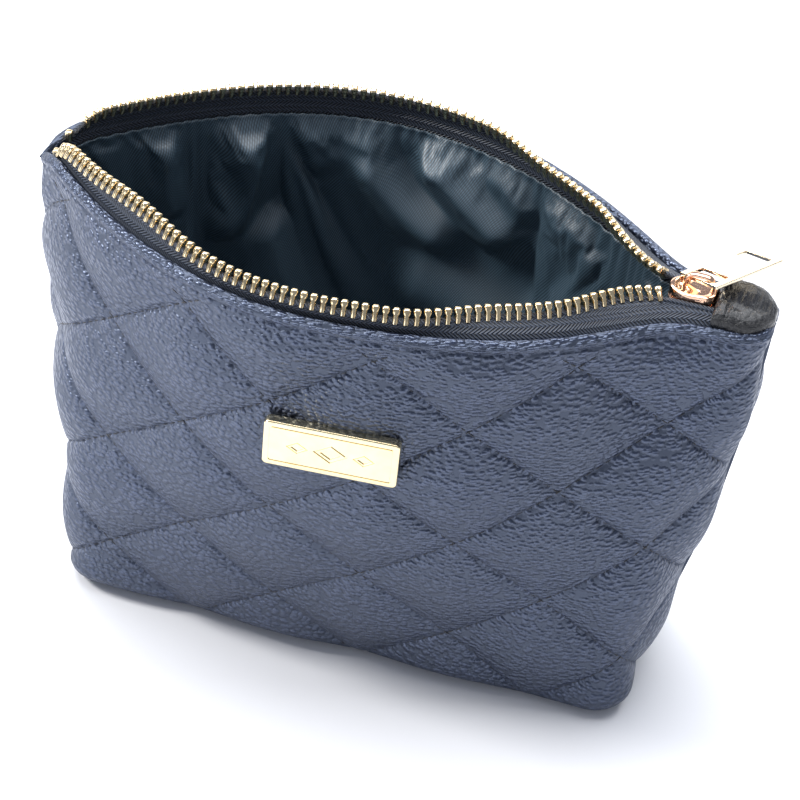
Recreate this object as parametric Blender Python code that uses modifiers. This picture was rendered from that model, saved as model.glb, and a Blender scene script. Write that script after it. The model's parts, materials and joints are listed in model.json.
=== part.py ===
"""Quilted leather zip pouch, standing open.

Frame: origin at the centre of the base on the surface it stands on, +X along the zip towards its closed end,
-Y towards the front, +Z up. Metres. Each object is one physical piece, modelled at rest with the zip open.
"""

import math

import bmesh
import bpy
import numpy as np
from mathutils import Matrix, Vector

MM = 0.001

# Shell: a boxed base, two walls that bow apart at the mouth, side seams at y = 0.
BASE_HALF_LENGTH = 78 * MM
BASE_HALF_DEPTH = 28 * MM
BASE_CORNER_RADIUS = 9 * MM
RIM_HEIGHT = 125 * MM
RIM_HALF_LENGTH = 97 * MM
FRONT_BOW = 45.5 * MM
BACK_BOW = 47.5 * MM
BOW_EASING = 0.15
WALL_BULGE = 7.0 * MM
SIDE_BULGE = 4.0 * MM

# The rims stand this far from the zip line, which leans to the front at its closed end.
RIM_GAP_LEFT = 3.5 * MM
RIM_GAP_CLOSED = 9.5 * MM
ZIP_SHIFT = -4 * MM
RIM_ROUND_LEFT = 4 * MM
RIM_ROUND_RIGHT = 9 * MM
RIM_DROP_LEFT = 4 * MM
SEAM_HALF_GAP = 1.6 * MM
SEAM_THICKNESS = 1.0 * MM

# Layers of a wall, counted inwards from its outer face.
LEATHER = 1.2 * MM
WADDING = 2.0 * MM
LINING = 0.5 * MM
GAP = 0.3 * MM

# Zip: number 5 metal chain.
MOUTH_END_X = 71 * MM
TOOTH_PITCH = 2.54 * MM
TOOTH_WIDTH = 1.3 * MM
TOOTH_LENGTH = 3.8 * MM
TOOTH_THICKNESS = 2.2 * MM
BEAD_HEIGHT = 1.5 * MM
TAPE_THICKNESS = 0.6 * MM
TAPE_SEWN_DEPTH = 9 * MM
TAPE_END_X = 81.2 * MM
TAPE_DEPTH = 2.1 * MM
TEETH_INSET = 3.0 * MM
TEETH_RISE = 2.4 * MM
TEETH_RISE_BUMP = 2.4 * MM  # the tape stands higher near the left end
BUMP_INSET = 1.6 * MM
BUMP_X = -64 * MM
BUMP_WIDTH = 16 * MM
TEETH_DRAW_IN = 4.5 * MM  # the tape widens by this much towards the slider
DRAW_IN_X = 10 * MM
DRAW_IN_LENGTH = 25 * MM
MEETING_X = 50 * MM  # from here the two rows draw together, over the next 26 mm
MEETING_LENGTH = 26 * MM
CHAIN_HALF_WIDTH = 4.6 * MM
ZIP_RISE = 1.5 * MM
ZIP_START_X = -92 * MM
LEFT_DROOP = 5 * MM

TAB_THICKNESS = 5.6 * MM
SLIDER_NOSE_X = 69 * MM
SLIDER_LENGTH = 12 * MM
SLIDER_WIDTH = 8.6 * MM
SLIDER_PLATE = 1.2 * MM
CHANNEL_HALF_HEIGHT = 1.3 * MM
PULL_LENGTH = 24.5 * MM
PULL_WIDTH = 12.5 * MM
PULL_THICKNESS = 1.0 * MM
PULL_YAW = math.radians(56.6)
PULL_RAISE = math.radians(-4.7)
PULL_ROLL = math.radians(-14)
PULL_BAR = 0.6 * MM
PULL_AXIS_HEIGHT = 1.9 * MM
PULL_WINDOW = (5.8 * MM, 8.5 * MM)  # where it ends along the pull, and its width
PULL_SLOT = (17.9 * MM, 21.7 * MM, 8.2 * MM)  # where it starts and ends, and its width

PLATE_LENGTH = 34.5 * MM
PLATE_HEIGHT = 14.5 * MM
PLATE_THICKNESS = 3.0 * MM
PLATE_PLACE = (-0.006, 0.70)  # along and up the front wall, as shares

WALL_STATIONS = 36
TOOTH_COUNT = 73

WADDING_TOP = RIM_HEIGHT - 12 * MM
LINING_TOP = RIM_HEIGHT - 4 * MM
WALL_LEVELS = [*np.linspace(LEATHER + GAP, WADDING_TOP, 6), LINING_TOP, RIM_HEIGHT]

zip_z = RIM_HEIGHT + ZIP_RISE

for old in list(bpy.data.objects):
    bpy.data.objects.remove(old, do_unlink=True)

parts = bpy.data.collections.new("zip_pouch")
cutters = bpy.data.collections.new("cutters")
for collection in (parts, cutters):
    bpy.context.scene.collection.children.link(collection)
cutters.hide_render = True


def material(name, colour, roughness, metallic=0.0):
    made = bpy.data.materials.new(name)
    made.use_nodes = True
    shader = made.node_tree.nodes["Principled BSDF"]
    shader.inputs["Base Color"].default_value = (*colour, 1.0)
    shader.inputs["Roughness"].default_value = roughness
    shader.inputs["Metallic"].default_value = metallic
    made.diffuse_color = (*colour, 1.0)
    return made


def place(name, mesh, colour, roughness, metallic=0.0):
    """A new object in the parts collection, with a material of its own."""
    made = bpy.data.objects.new(name, mesh)
    mesh.name = name
    mesh.materials.clear()
    mesh.materials.append(material(name, colour, roughness, metallic))
    parts.objects.link(made)
    return made


BLACK_LEATHER = ((0.018, 0.019, 0.026), 0.42)
WADDING_WHITE = ((0.75, 0.75, 0.72), 0.95)
LINING_SLATE = ((0.05, 0.08, 0.10), 0.45)
TAPE_BLACK = ((0.012, 0.012, 0.015), 0.85)
BRASS_GOLD = ((0.80, 0.58, 0.24), 0.25, 1.0)
ROSE_GOLD = ((0.93, 0.55, 0.36), 0.18, 1.0)
PALE_GOLD = ((0.90, 0.72, 0.42), 0.15, 1.0)
STEEL = ((0.6, 0.6, 0.62), 0.3, 1.0)


def smooth(share):
    share = np.clip(share, 0.0, 1.0)
    return share * share * (3 - 2 * share)


def opening(x):
    """Share of the full bow at x: a parabola from the left end to the slider, easing to 0 past it."""
    along = (x + RIM_HALF_LENGTH) / (MOUTH_END_X + RIM_HALF_LENGTH)
    parabola = 4 * along * (1 - along)
    return (parabola + np.sqrt(parabola**2 + (BOW_EASING * along**2) ** 2)) / 2


def closing(x):
    """0 over most of the mouth, rising to 1 at the slider."""
    return smooth(((x + RIM_HALF_LENGTH) / (MOUTH_END_X + RIM_HALF_LENGTH) - 0.55) / 0.45)


def zip_line(x):
    """Y of the zip's centre line."""
    return ZIP_SHIFT * closing(x)


def rim_distance(x, side):
    """Distance of a wall's rim from the zip line."""
    gap = RIM_GAP_LEFT + (RIM_GAP_CLOSED - RIM_GAP_LEFT) * closing(x)
    radius = np.where(x > 0, RIM_ROUND_RIGHT, RIM_ROUND_LEFT)
    into_corner = np.clip((np.abs(x) - (RIM_HALF_LENGTH - radius)) / radius, 0, 1)
    gap = SEAM_HALF_GAP + (gap - SEAM_HALF_GAP) * np.sqrt(1 - into_corner**2)
    bow = FRONT_BOW if side < 0 else BACK_BOW
    return gap + bow * opening(x)


RIM_X = RIM_HALF_LENGTH * np.sin(np.linspace(-math.pi / 2, math.pi / 2, 400))


def rim_y(x, side):
    return zip_line(x) + side * rim_distance(x, side)


def rim_share(side):
    """Share of the rim's length at each of RIM_X: -1 at the left seam, 0 in the middle, 1 at the right seam."""
    steps = np.hypot(np.diff(RIM_X), np.diff(rim_y(RIM_X, side)))
    length = np.concatenate([[0], np.cumsum(steps)])
    return 2 * length / length[-1] - 1


def rim_point(share, side):
    x = np.interp(share, rim_share(side), RIM_X)
    y = np.interp(share, rim_share(side), rim_y(RIM_X, side))
    into_corner = np.clip(1 - (x + RIM_HALF_LENGTH) / (2 * RIM_ROUND_LEFT), 0, 1)
    return x, y, RIM_HEIGHT - RIM_DROP_LEFT * into_corner**2


def base_point(share, side):
    """Points of half the base outline, from the left seam round two corners to the right seam."""
    straight = BASE_HALF_LENGTH - BASE_CORNER_RADIUS
    arc = math.pi / 2 * BASE_CORNER_RADIUS
    tail = BASE_HALF_DEPTH - BASE_CORNER_RADIUS - SEAM_HALF_GAP
    along = np.abs(share) * (straight + arc + tail)
    turn = np.clip((along - straight) / BASE_CORNER_RADIUS, 0, math.pi / 2)
    x = np.minimum(along, straight) + BASE_CORNER_RADIUS * np.sin(turn)
    y = BASE_HALF_DEPTH - BASE_CORNER_RADIUS * (1 - np.cos(turn)) - np.clip(along - straight - arc, 0, None)
    return x * np.sign(share), side * y


def wall_face(share, up, side):
    """The outer face of a wall: share runs from seam to seam, up from the base (0) to the rim (1)."""
    low_x, low_y = base_point(share, side)
    top_x, top_y, top_z = rim_point(share, side)
    swell = np.sin(math.pi * up)
    x = low_x * (1 - up) + top_x * up + SIDE_BULGE * swell * share**3
    y = low_y * (1 - up) + top_y * up + side * WALL_BULGE * swell * (1 - share**2)
    return np.stack([x, y, top_z * up], -1)


def wall_layer(share, up, side, depth):
    """Points at a depth inside a wall's outer face."""
    step = 0.004
    along = wall_face(np.minimum(share + step, 1), up, side) - wall_face(np.maximum(share - step, -1), up, side)
    rise = wall_face(share, up + step, side) - wall_face(share, up - step, side)
    inwards = side * np.cross(along, rise)
    inwards /= np.linalg.norm(inwards, axis=-1, keepdims=True)
    return wall_face(share, up, side) + depth * inwards


def surface(rows):
    """An open mesh through a grid of points."""
    grid = bmesh.new()
    made = [[grid.verts.new(point) for point in row] for row in rows]
    for low, high in zip(made, made[1:]):
        for a, b, c, d in zip(low, low[1:], high[1:], high):
            grid.faces.new((a, b, c, d))
    mesh = bpy.data.meshes.new("surface")
    grid.to_mesh(mesh)
    grid.free()
    return mesh


def thicken(made, thickness, offset):
    solid = made.modifiers.new("Thickness", "SOLIDIFY")
    solid.thickness = thickness
    solid.offset = offset
    return made


def cut(made, cutter):
    boolean = made.modifiers.new("Cut " + cutter.name, "BOOLEAN")
    boolean.operation = "DIFFERENCE"
    boolean.object = cutter
    return made


def box_mesh(size, bevel=0.0, segments=2):
    made = bmesh.new()
    bmesh.ops.create_cube(made, size=1.0, matrix=Matrix.Diagonal((*size, 1.0)))
    if bevel:
        bmesh.ops.bevel(made, geom=made.edges[:], offset=bevel, segments=segments, affect="EDGES", profile=0.5)
    mesh = bpy.data.meshes.new("box")
    made.to_mesh(mesh)
    made.free()
    return mesh


def box_cutter(name, size, place_at):
    made = bpy.data.objects.new(name, box_mesh(size))
    made.matrix_world = place_at if isinstance(place_at, Matrix) else Matrix.Translation(place_at)
    made.hide_render = True
    made.display_type = "WIRE"
    cutters.objects.link(made)
    return made


def union(made, others):
    """Joins other objects into one body and removes them."""
    for other in others:
        join = made.modifiers.new("Join " + other.name, "BOOLEAN")
        join.operation = "UNION"
        join.object = other
        other.hide_render = True
        other.display_type = "WIRE"
        for collection in other.users_collection:
            collection.objects.unlink(other)
        cutters.objects.link(other)
    return made


def outline_object(name, points, thickness, colour):
    """A flat outline in XY as a 2D curve, extruded by its thickness about z = 0, then made a mesh."""
    curve = bpy.data.curves.new(name, "CURVE")
    curve.dimensions = "2D"
    curve.fill_mode = "BOTH"
    curve.extrude = thickness / 2
    for loop in points:
        spline = curve.splines.new("POLY")
        spline.points.add(len(loop) - 1)
        for point, (x, y) in zip(spline.points, loop):
            point.co = (x, y, 0, 1)
        spline.use_cyclic_u = True
    drawn = bpy.data.objects.new(name + "_outline", curve)
    bpy.context.scene.collection.objects.link(drawn)
    bpy.context.view_layer.update()
    mesh = bpy.data.meshes.new_from_object(drawn.evaluated_get(bpy.context.evaluated_depsgraph_get()))
    bpy.data.objects.remove(drawn, do_unlink=True)
    welded = bmesh.new()
    welded.from_mesh(mesh)
    bmesh.ops.remove_doubles(welded, verts=welded.verts[:], dist=1e-6)
    bmesh.ops.recalc_face_normals(welded, faces=welded.faces[:])
    welded.to_mesh(mesh)
    welded.free()
    return place(name, mesh, *colour)


def rounded_rectangle(width, height, radius, steps=4):
    corners = ((1, 1, 0), (-1, 1, 90), (-1, -1, 180), (1, -1, 270))
    points = []
    for sx, sy, start in corners:
        for step in range(steps + 1):
            angle = math.radians(start + 90 * step / steps)
            points.append(
                (
                    sx * (width / 2 - radius) + radius * math.cos(angle),
                    sy * (height / 2 - radius) + radius * math.sin(angle),
                )
            )
    return points


def base_sheet(name, inset, low, thickness, colour, bevel=0.0):
    """A flat layer of the base, its outline inset from the foot of the walls."""
    outline = rounded_rectangle(
        2 * (BASE_HALF_LENGTH - inset), 2 * (BASE_HALF_DEPTH - inset), max(BASE_CORNER_RADIUS - inset, 3 * MM)
    )
    made = outline_object(name, [outline], thickness, colour)
    made.location.z = low + thickness / 2
    if bevel:
        edge = made.modifiers.new("Soft edge", "BEVEL")
        edge.width = bevel
        edge.segments = 2
        edge.limit_method = "ANGLE"
    return made


def wall_sheet(name, side, depth, thickness, top, reach, colour):
    """One layer of a wall, up to the level named top and as far along as reach, on the grid that all layers share."""
    shares = np.linspace(-1, 1, WALL_STATIONS + 1)
    shares = shares[np.abs(shares) < reach]
    heights = [level for level in WALL_LEVELS if level <= top]
    rows = [wall_layer(shares, np.full_like(shares, level / RIM_HEIGHT), side, depth) for level in heights]
    made = place(name, surface(rows), *colour)
    return thicken(made, thickness, 1 if side > 0 else -1)


def build_base():
    inner = LEATHER + GAP + WADDING + GAP + LINING + 1.5 * MM
    low = base_sheet("base_panel", 0.0, 0.0, LEATHER, BLACK_LEATHER, bevel=0.5 * MM)
    base_sheet("base_wadding", inner, LEATHER + GAP, WADDING, WADDING_WHITE)
    base_sheet("base_lining", inner, LEATHER + WADDING + 2 * GAP, LINING, LINING_SLATE)
    return low


def build_wall(prefix, side):
    panel = wall_sheet(prefix + "_panel", side, 0.0, LEATHER, RIM_HEIGHT, 1.1, BLACK_LEATHER)
    wadding = wall_sheet(prefix + "_wadding", side, LEATHER + GAP, WADDING, WADDING_TOP, 0.95, WADDING_WHITE)
    lining_depth = LEATHER + WADDING + 2 * GAP
    wall_sheet(prefix + "_lining", side, lining_depth, LINING, LINING_TOP, 0.95, LINING_SLATE)
    return panel, wadding


def inward_normal(x, side):
    """Unit vector in plan from a rim towards the inside of the mouth."""
    step = 0.5 * MM
    slope = (rim_y(x + step, side) - rim_y(x - step, side)) / (2 * step)
    normal = np.stack([side * slope, -side * np.ones_like(x), 0 * x], -1)
    return normal / np.linalg.norm(normal, axis=-1, keepdims=True)


def teeth_root(x, side):
    """Points where the teeth meet the edge of the tape, and the direction in which they stand."""
    met = smooth((x - MEETING_X) / MEETING_LENGTH)
    bump = np.exp(-(((x - BUMP_X) / BUMP_WIDTH) ** 2)) * (side < 0)
    inset = TEETH_INSET + TEETH_DRAW_IN * smooth((x - DRAW_IN_X) / DRAW_IN_LENGTH) + BUMP_INSET * bump
    droop = LEFT_DROOP * np.clip((-86 * MM - x) / (8 * MM), 0, 1) ** 2
    rim = np.stack([x, rim_y(x, side), RIM_HEIGHT + TEETH_RISE + TEETH_RISE_BUMP * bump], -1)
    loose = rim + inset[:, None] * inward_normal(x, side)
    chain = np.stack([x, zip_line(x) + side * CHAIN_HALF_WIDTH, np.full_like(x, RIM_HEIGHT + ZIP_RISE)], -1)
    root = loose * (1 - met)[:, None] + chain * met[:, None]
    root[:, 2] -= droop
    lean = np.radians(62 * (1 - met) + 20 * met)
    stand = inward_normal(x, side) * np.cos(lean)[:, None]
    stand[:, 2] = np.sin(lean)
    return root, stand


def build_tape(prefix, side):
    """The woven tape: sewn inside the rim, then up and in to the root of the teeth."""
    x = np.linspace(ZIP_START_X + 1 * MM, TAPE_END_X, 36)
    share = np.interp(x, RIM_X, rim_share(side))
    low = wall_layer(share, np.full_like(x, 1 - TAPE_SEWN_DEPTH / RIM_HEIGHT), side, TAPE_DEPTH)
    edge = wall_layer(share, np.full_like(x, 1 - 1 * MM / RIM_HEIGHT), side, TAPE_DEPTH)
    root, _ = teeth_root(x, side)
    shoulder = root * 0.6 + edge * 0.4
    shoulder[:, 2] = root[:, 2] - 0.9 * MM * (1 - closing(x))
    made = place(prefix + "_tape", surface([low, edge, shoulder, root]), *TAPE_BLACK)
    return thicken(made, TAPE_THICKNESS, 0)


def build_teeth(prefix, side):
    """One row: a cord bead that carries the teeth, swept along the edge of the tape as one comb."""
    dense = np.linspace(ZIP_START_X, SLIDER_NOSE_X - 1.2 * MM, 600)
    path, _ = teeth_root(dense, side)
    length = np.concatenate([[0], np.cumsum(np.linalg.norm(np.diff(path, axis=0), axis=1))])
    count = min(TOOTH_COUNT, int(length[-1] / TOOTH_PITCH))
    starts = length[-1] - TOOTH_PITCH * np.arange(count, 0, -1) + (TOOTH_PITCH - TOOTH_WIDTH) / 2
    ends = np.stack([starts, starts + TOOTH_WIDTH], 1).ravel()
    x = np.interp(ends, length, dense)
    root, stand = teeth_root(x, side)
    across = np.cross(stand, np.gradient(root, axis=0))
    across /= np.linalg.norm(across, axis=1, keepdims=True)
    foot = root + (GAP + TAPE_THICKNESS / 2) * stand
    comb = bmesh.new()

    def ring(index, height):
        base, up, out = foot[index], stand[index] * height, across[index] * TOOTH_THICKNESS / 2
        return [comb.verts.new(base + up + out), comb.verts.new(base + up - out)]

    low = [ring(i, 0.0) for i in range(len(x))]
    bead = [ring(i, BEAD_HEIGHT) for i in range(len(x))]
    tips = [ring(i, TOOTH_LENGTH) for i in range(len(x))]
    for i in range(len(x) - 1):
        tooth = i % 2 == 0
        levels = [low, bead, tips] if tooth else [low, bead]
        for under, over in zip(levels, levels[1:]):
            comb.faces.new((under[i][0], under[i + 1][0], over[i + 1][0], over[i][0]))
            comb.faces.new((under[i + 1][1], under[i][1], over[i][1], over[i + 1][1]))
        top = levels[-1]
        comb.faces.new((top[i][0], top[i + 1][0], top[i + 1][1], top[i][1]))
        comb.faces.new((low[i + 1][0], low[i][0], low[i][1], low[i + 1][1]))
        if tooth:
            comb.faces.new((bead[i][1], bead[i][0], tips[i][0], tips[i][1]))
            comb.faces.new((bead[i + 1][0], bead[i + 1][1], tips[i + 1][1], tips[i + 1][0]))
    comb.faces.new((low[0][1], low[0][0], bead[0][0], bead[0][1]))
    comb.faces.new((low[-1][0], low[-1][1], bead[-1][1], bead[-1][0]))
    bmesh.ops.recalc_face_normals(comb, faces=comb.faces[:])
    mesh = bpy.data.meshes.new(prefix + "_teeth")
    comb.to_mesh(mesh)
    comb.free()
    return place(prefix + "_teeth", mesh, *BRASS_GOLD)


def build_side_seam(prefix, end):
    """The turned-in allowances of a side seam, as one strip between the two walls."""
    heights = np.linspace(LEATHER + GAP, RIM_HEIGHT - 1 * MM, 10) / RIM_HEIGHT
    share = np.full_like(heights, float(end))
    outer = (wall_face(share, heights, -1) + wall_face(share, heights, 1)) / 2
    outer[:, 0] -= end * GAP
    inner = outer.copy()
    inner[:, 0] -= end * 3.6 * MM
    made = place(prefix + "_side_seam", surface([outer, inner]), *BLACK_LEATHER)
    return thicken(made, SEAM_THICKNESS, 0)


def build_top_stop(prefix, side):
    x = np.array([ZIP_START_X - 2.2 * MM])
    root, _ = teeth_root(x, side)
    made = place(prefix + "_top_stop", box_mesh((1.8 * MM, 2.0 * MM, 3.0 * MM), 0.4 * MM), *BRASS_GOLD)
    made.location = Vector(root[0]) + Vector((0, 0, 0.6 * MM))
    return made


def build_end_tab():
    """A folded leather wrap over the closed end of the zip, with a pocket for the bottom stop."""
    left, right = SLIDER_NOSE_X + SLIDER_LENGTH + 0.5 * MM, RIM_HALF_LENGTH - 2.5 * MM
    width, round_end = 17 * MM, 7.5 * MM
    outline = [(left, width / 2), (left, -width / 2)]
    for step in range(13):
        angle = math.radians(-90 + 15 * step)
        corner_y = (width / 2 - round_end) * (-1 if step < 6 else 1 if step > 6 else 0)
        outline.append((right - round_end + round_end * math.cos(angle), corner_y + round_end * math.sin(angle)))
    tab = outline_object("end_tab", [outline], TAB_THICKNESS, BLACK_LEATHER)
    tab.location = (0, ZIP_SHIFT, zip_z + 0.3 * MM)
    fold = tab.modifiers.new("Fold", "BEVEL")
    fold.width = 1.4 * MM
    fold.segments = 3
    fold.limit_method = "ANGLE"
    pocket = box_cutter("stop_pocket", (8 * MM, 6.4 * MM, 3.2 * MM), Vector((left, ZIP_SHIFT, zip_z)))
    cut(tab, pocket)
    stop = place("bottom_stop", box_mesh((2.8 * MM, 5.2 * MM, 2.2 * MM), 0.4 * MM), *BRASS_GOLD)
    stop.location = (left + 2 * MM, ZIP_SHIFT, zip_z)
    return tab


def build_slider():
    """Two plates joined by a post at the nose, with side lips that leave a slot for each tape."""
    middle = SLIDER_NOSE_X + SLIDER_LENGTH / 2
    level = CHANNEL_HALF_HEIGHT + SLIDER_PLATE / 2
    outline = rounded_rectangle(SLIDER_LENGTH, SLIDER_WIDTH, 3.2 * MM)
    upper = outline_object("slider_body", [outline], SLIDER_PLATE, ROSE_GOLD)
    upper.location = (middle, ZIP_SHIFT, zip_z + level)
    lower = outline_object("slider_lower_plate", [outline], SLIDER_PLATE, ROSE_GOLD)
    lower.location = (middle, ZIP_SHIFT, zip_z - level)
    post = place("slider_post", box_mesh((2.2 * MM, 1.5 * MM, 2 * level)), *ROSE_GOLD)
    post.location = (SLIDER_NOSE_X + 2.0 * MM, ZIP_SHIFT, zip_z)
    joined = [lower, post]
    lip_height = CHANNEL_HALF_HEIGHT - TAPE_THICKNESS / 2 - GAP
    for side in (-1, 1):
        for up in (-1, 1):
            lip = place(f"slider_lip_{side}_{up}", box_mesh((6 * MM, 0.8 * MM, lip_height + 0.4 * MM)), *ROSE_GOLD)
            centre = CHANNEL_HALF_HEIGHT + 0.2 * MM - lip_height / 2
            lip_y = ZIP_SHIFT + side * (SLIDER_WIDTH / 2 - 0.4 * MM)
            lip.location = (middle, lip_y, zip_z + up * centre)
            joined.append(lip)
    union(upper, joined)
    return zip_z + level + SLIDER_PLATE / 2


def build_bridge_and_pull(top):
    """The bridge is an arch over the tail of the slider; the pull's end bar turns under it."""
    centre_x = SLIDER_NOSE_X + SLIDER_LENGTH - 4.8 * MM
    foot, clear, rise = 1.2 * MM, 5.8 * MM, 3.0 * MM
    outside = (clear + 2 * foot, rise + 1.0 * MM)
    arch = [
        (-outside[0] / 2, 0),
        (-clear / 2, 0),
        (-clear / 2, rise),
        (clear / 2, rise),
        (clear / 2, 0),
        (outside[0] / 2, 0),
        (outside[0] / 2, outside[1] - 0.8 * MM),
        (outside[0] / 2 - 0.8 * MM, outside[1]),
        (-outside[0] / 2 + 0.8 * MM, outside[1]),
        (-outside[0] / 2, outside[1] - 0.8 * MM),
    ]
    bridge = outline_object("slider_bridge", [arch], 1.6 * MM, ROSE_GOLD)
    bridge.rotation_euler = (math.pi / 2, 0, 0)
    bridge.location = (centre_x, ZIP_SHIFT, top + GAP)

    axis = Vector((centre_x, ZIP_SHIFT, top + GAP + PULL_AXIS_HEIGHT))
    pivot = bpy.data.objects.new("pull_axis", None)
    parts.objects.link(pivot)
    pivot.location = axis
    pivot.rotation_euler = (PULL_ROLL, -PULL_RAISE, PULL_YAW)

    def rectangle(left, right, width):
        return [(left, -width / 2), (right, -width / 2), (right, width / 2), (left, width / 2)]

    plate = rectangle(-PULL_BAR, PULL_LENGTH - PULL_BAR, PULL_WIDTH)
    window = rectangle(PULL_BAR, *PULL_WINDOW)
    slot = rectangle(*PULL_SLOT)
    pull = outline_object("pull", [plate, window, slot], PULL_THICKNESS, PALE_GOLD)
    pull.parent = pivot
    return pull


def build_nameplate(panel, wadding):
    """A plain metal plate whose two prongs pass through the leather and close on a washer plate."""
    share, up = (np.array([value]) for value in PLATE_PLACE)
    centre = Vector(wall_face(share, up, -1)[0])
    along = Vector((wall_face(share + 0.05, up, -1) - wall_face(share - 0.05, up, -1))[0]).normalized()
    rise = Vector((wall_face(share, up + 0.03, -1) - wall_face(share, up - 0.03, -1))[0])
    out = along.cross(rise).normalized()
    rise = out.cross(along).normalized()
    turn = Matrix((along, rise, out)).transposed().to_4x4()
    frame = Matrix.Translation(centre + out * GAP) @ turn

    plate = place("nameplate", box_mesh((PLATE_LENGTH, PLATE_HEIGHT, PLATE_THICKNESS), 0.5 * MM), *PALE_GOLD)
    plate.matrix_world = frame @ Matrix.Translation((0, 0, PLATE_THICKNESS / 2))
    prong_reach = 3.9 * MM
    prongs = []
    for side in (-1, 1):
        prong = place(f"prong_{side}", box_mesh((2.4 * MM, 0.7 * MM, prong_reach + 1 * MM)), *PALE_GOLD)
        prong.matrix_world = frame @ Matrix.Translation((side * 8 * MM, 0, (1 * MM - prong_reach) / 2))
        hook = place(f"hook_{side}", box_mesh((2.4 * MM, 3.0 * MM, 0.6 * MM)), *PALE_GOLD)
        hook.matrix_world = frame @ Matrix.Translation((side * 8 * MM, 1.2 * MM, -prong_reach + 0.25 * MM))
        prongs += [prong, hook]
        slot = box_cutter(
            f"prong_slot_{side}", (3.2 * MM, 1.5 * MM, 12 * MM), frame @ Matrix.Translation((side * 8 * MM, 0, 0))
        )
        cut(panel, slot)
        cutters_for_washer.append(slot)
    union(plate, prongs)
    window = box_cutter("washer_window", (32 * MM, 12 * MM, 14 * MM), frame)
    cut(wadding, window)
    washer = place("nameplate_washer", box_mesh((24 * MM, 8 * MM, 0.5 * MM)), *STEEL)
    washer.matrix_world = frame @ Matrix.Translation((0, 0, -2.9 * MM))
    for slot in cutters_for_washer:
        cut(washer, slot)


cutters_for_washer = []
build_base()
walls = {prefix: build_wall(prefix, side) for prefix, side in (("front", -1), ("back", 1))}
for prefix, side in (("front", -1), ("back", 1)):
    build_tape(prefix, side)
    build_teeth(prefix, side)
    build_top_stop(prefix, side)
for prefix, end in (("left", -1), ("right", 1)):
    build_side_seam(prefix, end)
build_end_tab()
build_bridge_and_pull(build_slider())
build_nameplate(*walls["front"])
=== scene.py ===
"""The looks of the quilted zip pouch: leather, lining, zip, tab, nameplate, floor, light and camera.

Metres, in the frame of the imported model: +X along the zip to its closed end, -Y to the front, +Z up.
"""

import json

import math

import bmesh
import bpy
import numpy as np
from mathutils import Matrix, Vector, noise


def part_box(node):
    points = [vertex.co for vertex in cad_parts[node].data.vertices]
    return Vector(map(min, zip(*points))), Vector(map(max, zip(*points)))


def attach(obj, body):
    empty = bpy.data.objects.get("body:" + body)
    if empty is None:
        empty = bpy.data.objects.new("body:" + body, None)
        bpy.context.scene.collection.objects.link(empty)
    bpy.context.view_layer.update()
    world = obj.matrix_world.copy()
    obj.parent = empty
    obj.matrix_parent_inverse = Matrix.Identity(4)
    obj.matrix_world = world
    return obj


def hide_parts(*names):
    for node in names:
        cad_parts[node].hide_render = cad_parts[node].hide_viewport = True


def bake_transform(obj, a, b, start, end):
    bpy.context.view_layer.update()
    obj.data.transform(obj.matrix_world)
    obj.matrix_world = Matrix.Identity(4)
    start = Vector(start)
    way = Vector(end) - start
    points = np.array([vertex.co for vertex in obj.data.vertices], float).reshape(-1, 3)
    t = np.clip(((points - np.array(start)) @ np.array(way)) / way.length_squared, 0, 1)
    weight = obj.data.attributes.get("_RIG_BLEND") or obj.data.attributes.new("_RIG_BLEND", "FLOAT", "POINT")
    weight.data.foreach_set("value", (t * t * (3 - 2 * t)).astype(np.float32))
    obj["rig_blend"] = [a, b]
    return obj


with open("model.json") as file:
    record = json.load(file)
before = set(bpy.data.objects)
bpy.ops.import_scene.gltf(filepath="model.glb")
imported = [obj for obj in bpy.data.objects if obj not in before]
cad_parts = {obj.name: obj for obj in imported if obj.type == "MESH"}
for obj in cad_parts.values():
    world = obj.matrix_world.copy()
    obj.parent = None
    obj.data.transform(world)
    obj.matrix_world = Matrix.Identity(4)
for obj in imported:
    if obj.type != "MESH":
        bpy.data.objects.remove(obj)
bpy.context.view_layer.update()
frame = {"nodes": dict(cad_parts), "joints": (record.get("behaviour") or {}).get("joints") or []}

MM = 0.001

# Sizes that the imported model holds.
base_low, base_high = (np.array(corner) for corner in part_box("base_panel"))
panel_low, panel_high = (np.array(corner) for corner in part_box("back_panel"))
slider_low, slider_high = (np.array(corner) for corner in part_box("slider_body"))
lining_low, lining_high = (np.array(corner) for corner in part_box("back_lining"))
BASE_HALF_LENGTH, BASE_HALF_DEPTH = base_high[0], base_high[1]
RIM_HALF_LENGTH, RIM_HEIGHT = panel_high[0], panel_high[2]
SLIDER_NOSE_X, SLIDER_TAIL_X = slider_low[0], slider_high[0]
SLIDER_WIDTH = slider_high[1] - slider_low[1]
ZIP_Y = (slider_low[1] + slider_high[1]) / 2
ZIP_Z = (slider_low[2] + slider_high[2]) / 2

# The walls' form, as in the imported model.
BASE_CORNER_RADIUS = 9 * MM
FRONT_BOW = 45.5 * MM
BACK_BOW = 47.5 * MM
BOW_EASING = 0.15
WALL_BULGE = 7.0 * MM
SIDE_BULGE = 4.0 * MM
RIM_GAP_LEFT = 3.5 * MM
RIM_GAP_CLOSED = 9.5 * MM
RIM_ROUND_LEFT = 4 * MM
RIM_ROUND_RIGHT = 9 * MM
RIM_DROP_LEFT = 4 * MM
SEAM_HALF_GAP = 1.6 * MM
MOUTH_END_X = 71 * MM
TEETH_INSET = 3.0 * MM
TEETH_RISE = 2.4 * MM
TEETH_RISE_BUMP = 2.4 * MM
BUMP_INSET = 1.6 * MM
BUMP_X = -64 * MM
BUMP_WIDTH = 16 * MM
TEETH_DRAW_IN = 4.5 * MM
DRAW_IN_X = 10 * MM
DRAW_IN_LENGTH = 25 * MM
MEETING_X = 50 * MM
MEETING_LENGTH = 26 * MM
CHAIN_HALF_WIDTH = 4.6 * MM
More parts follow.
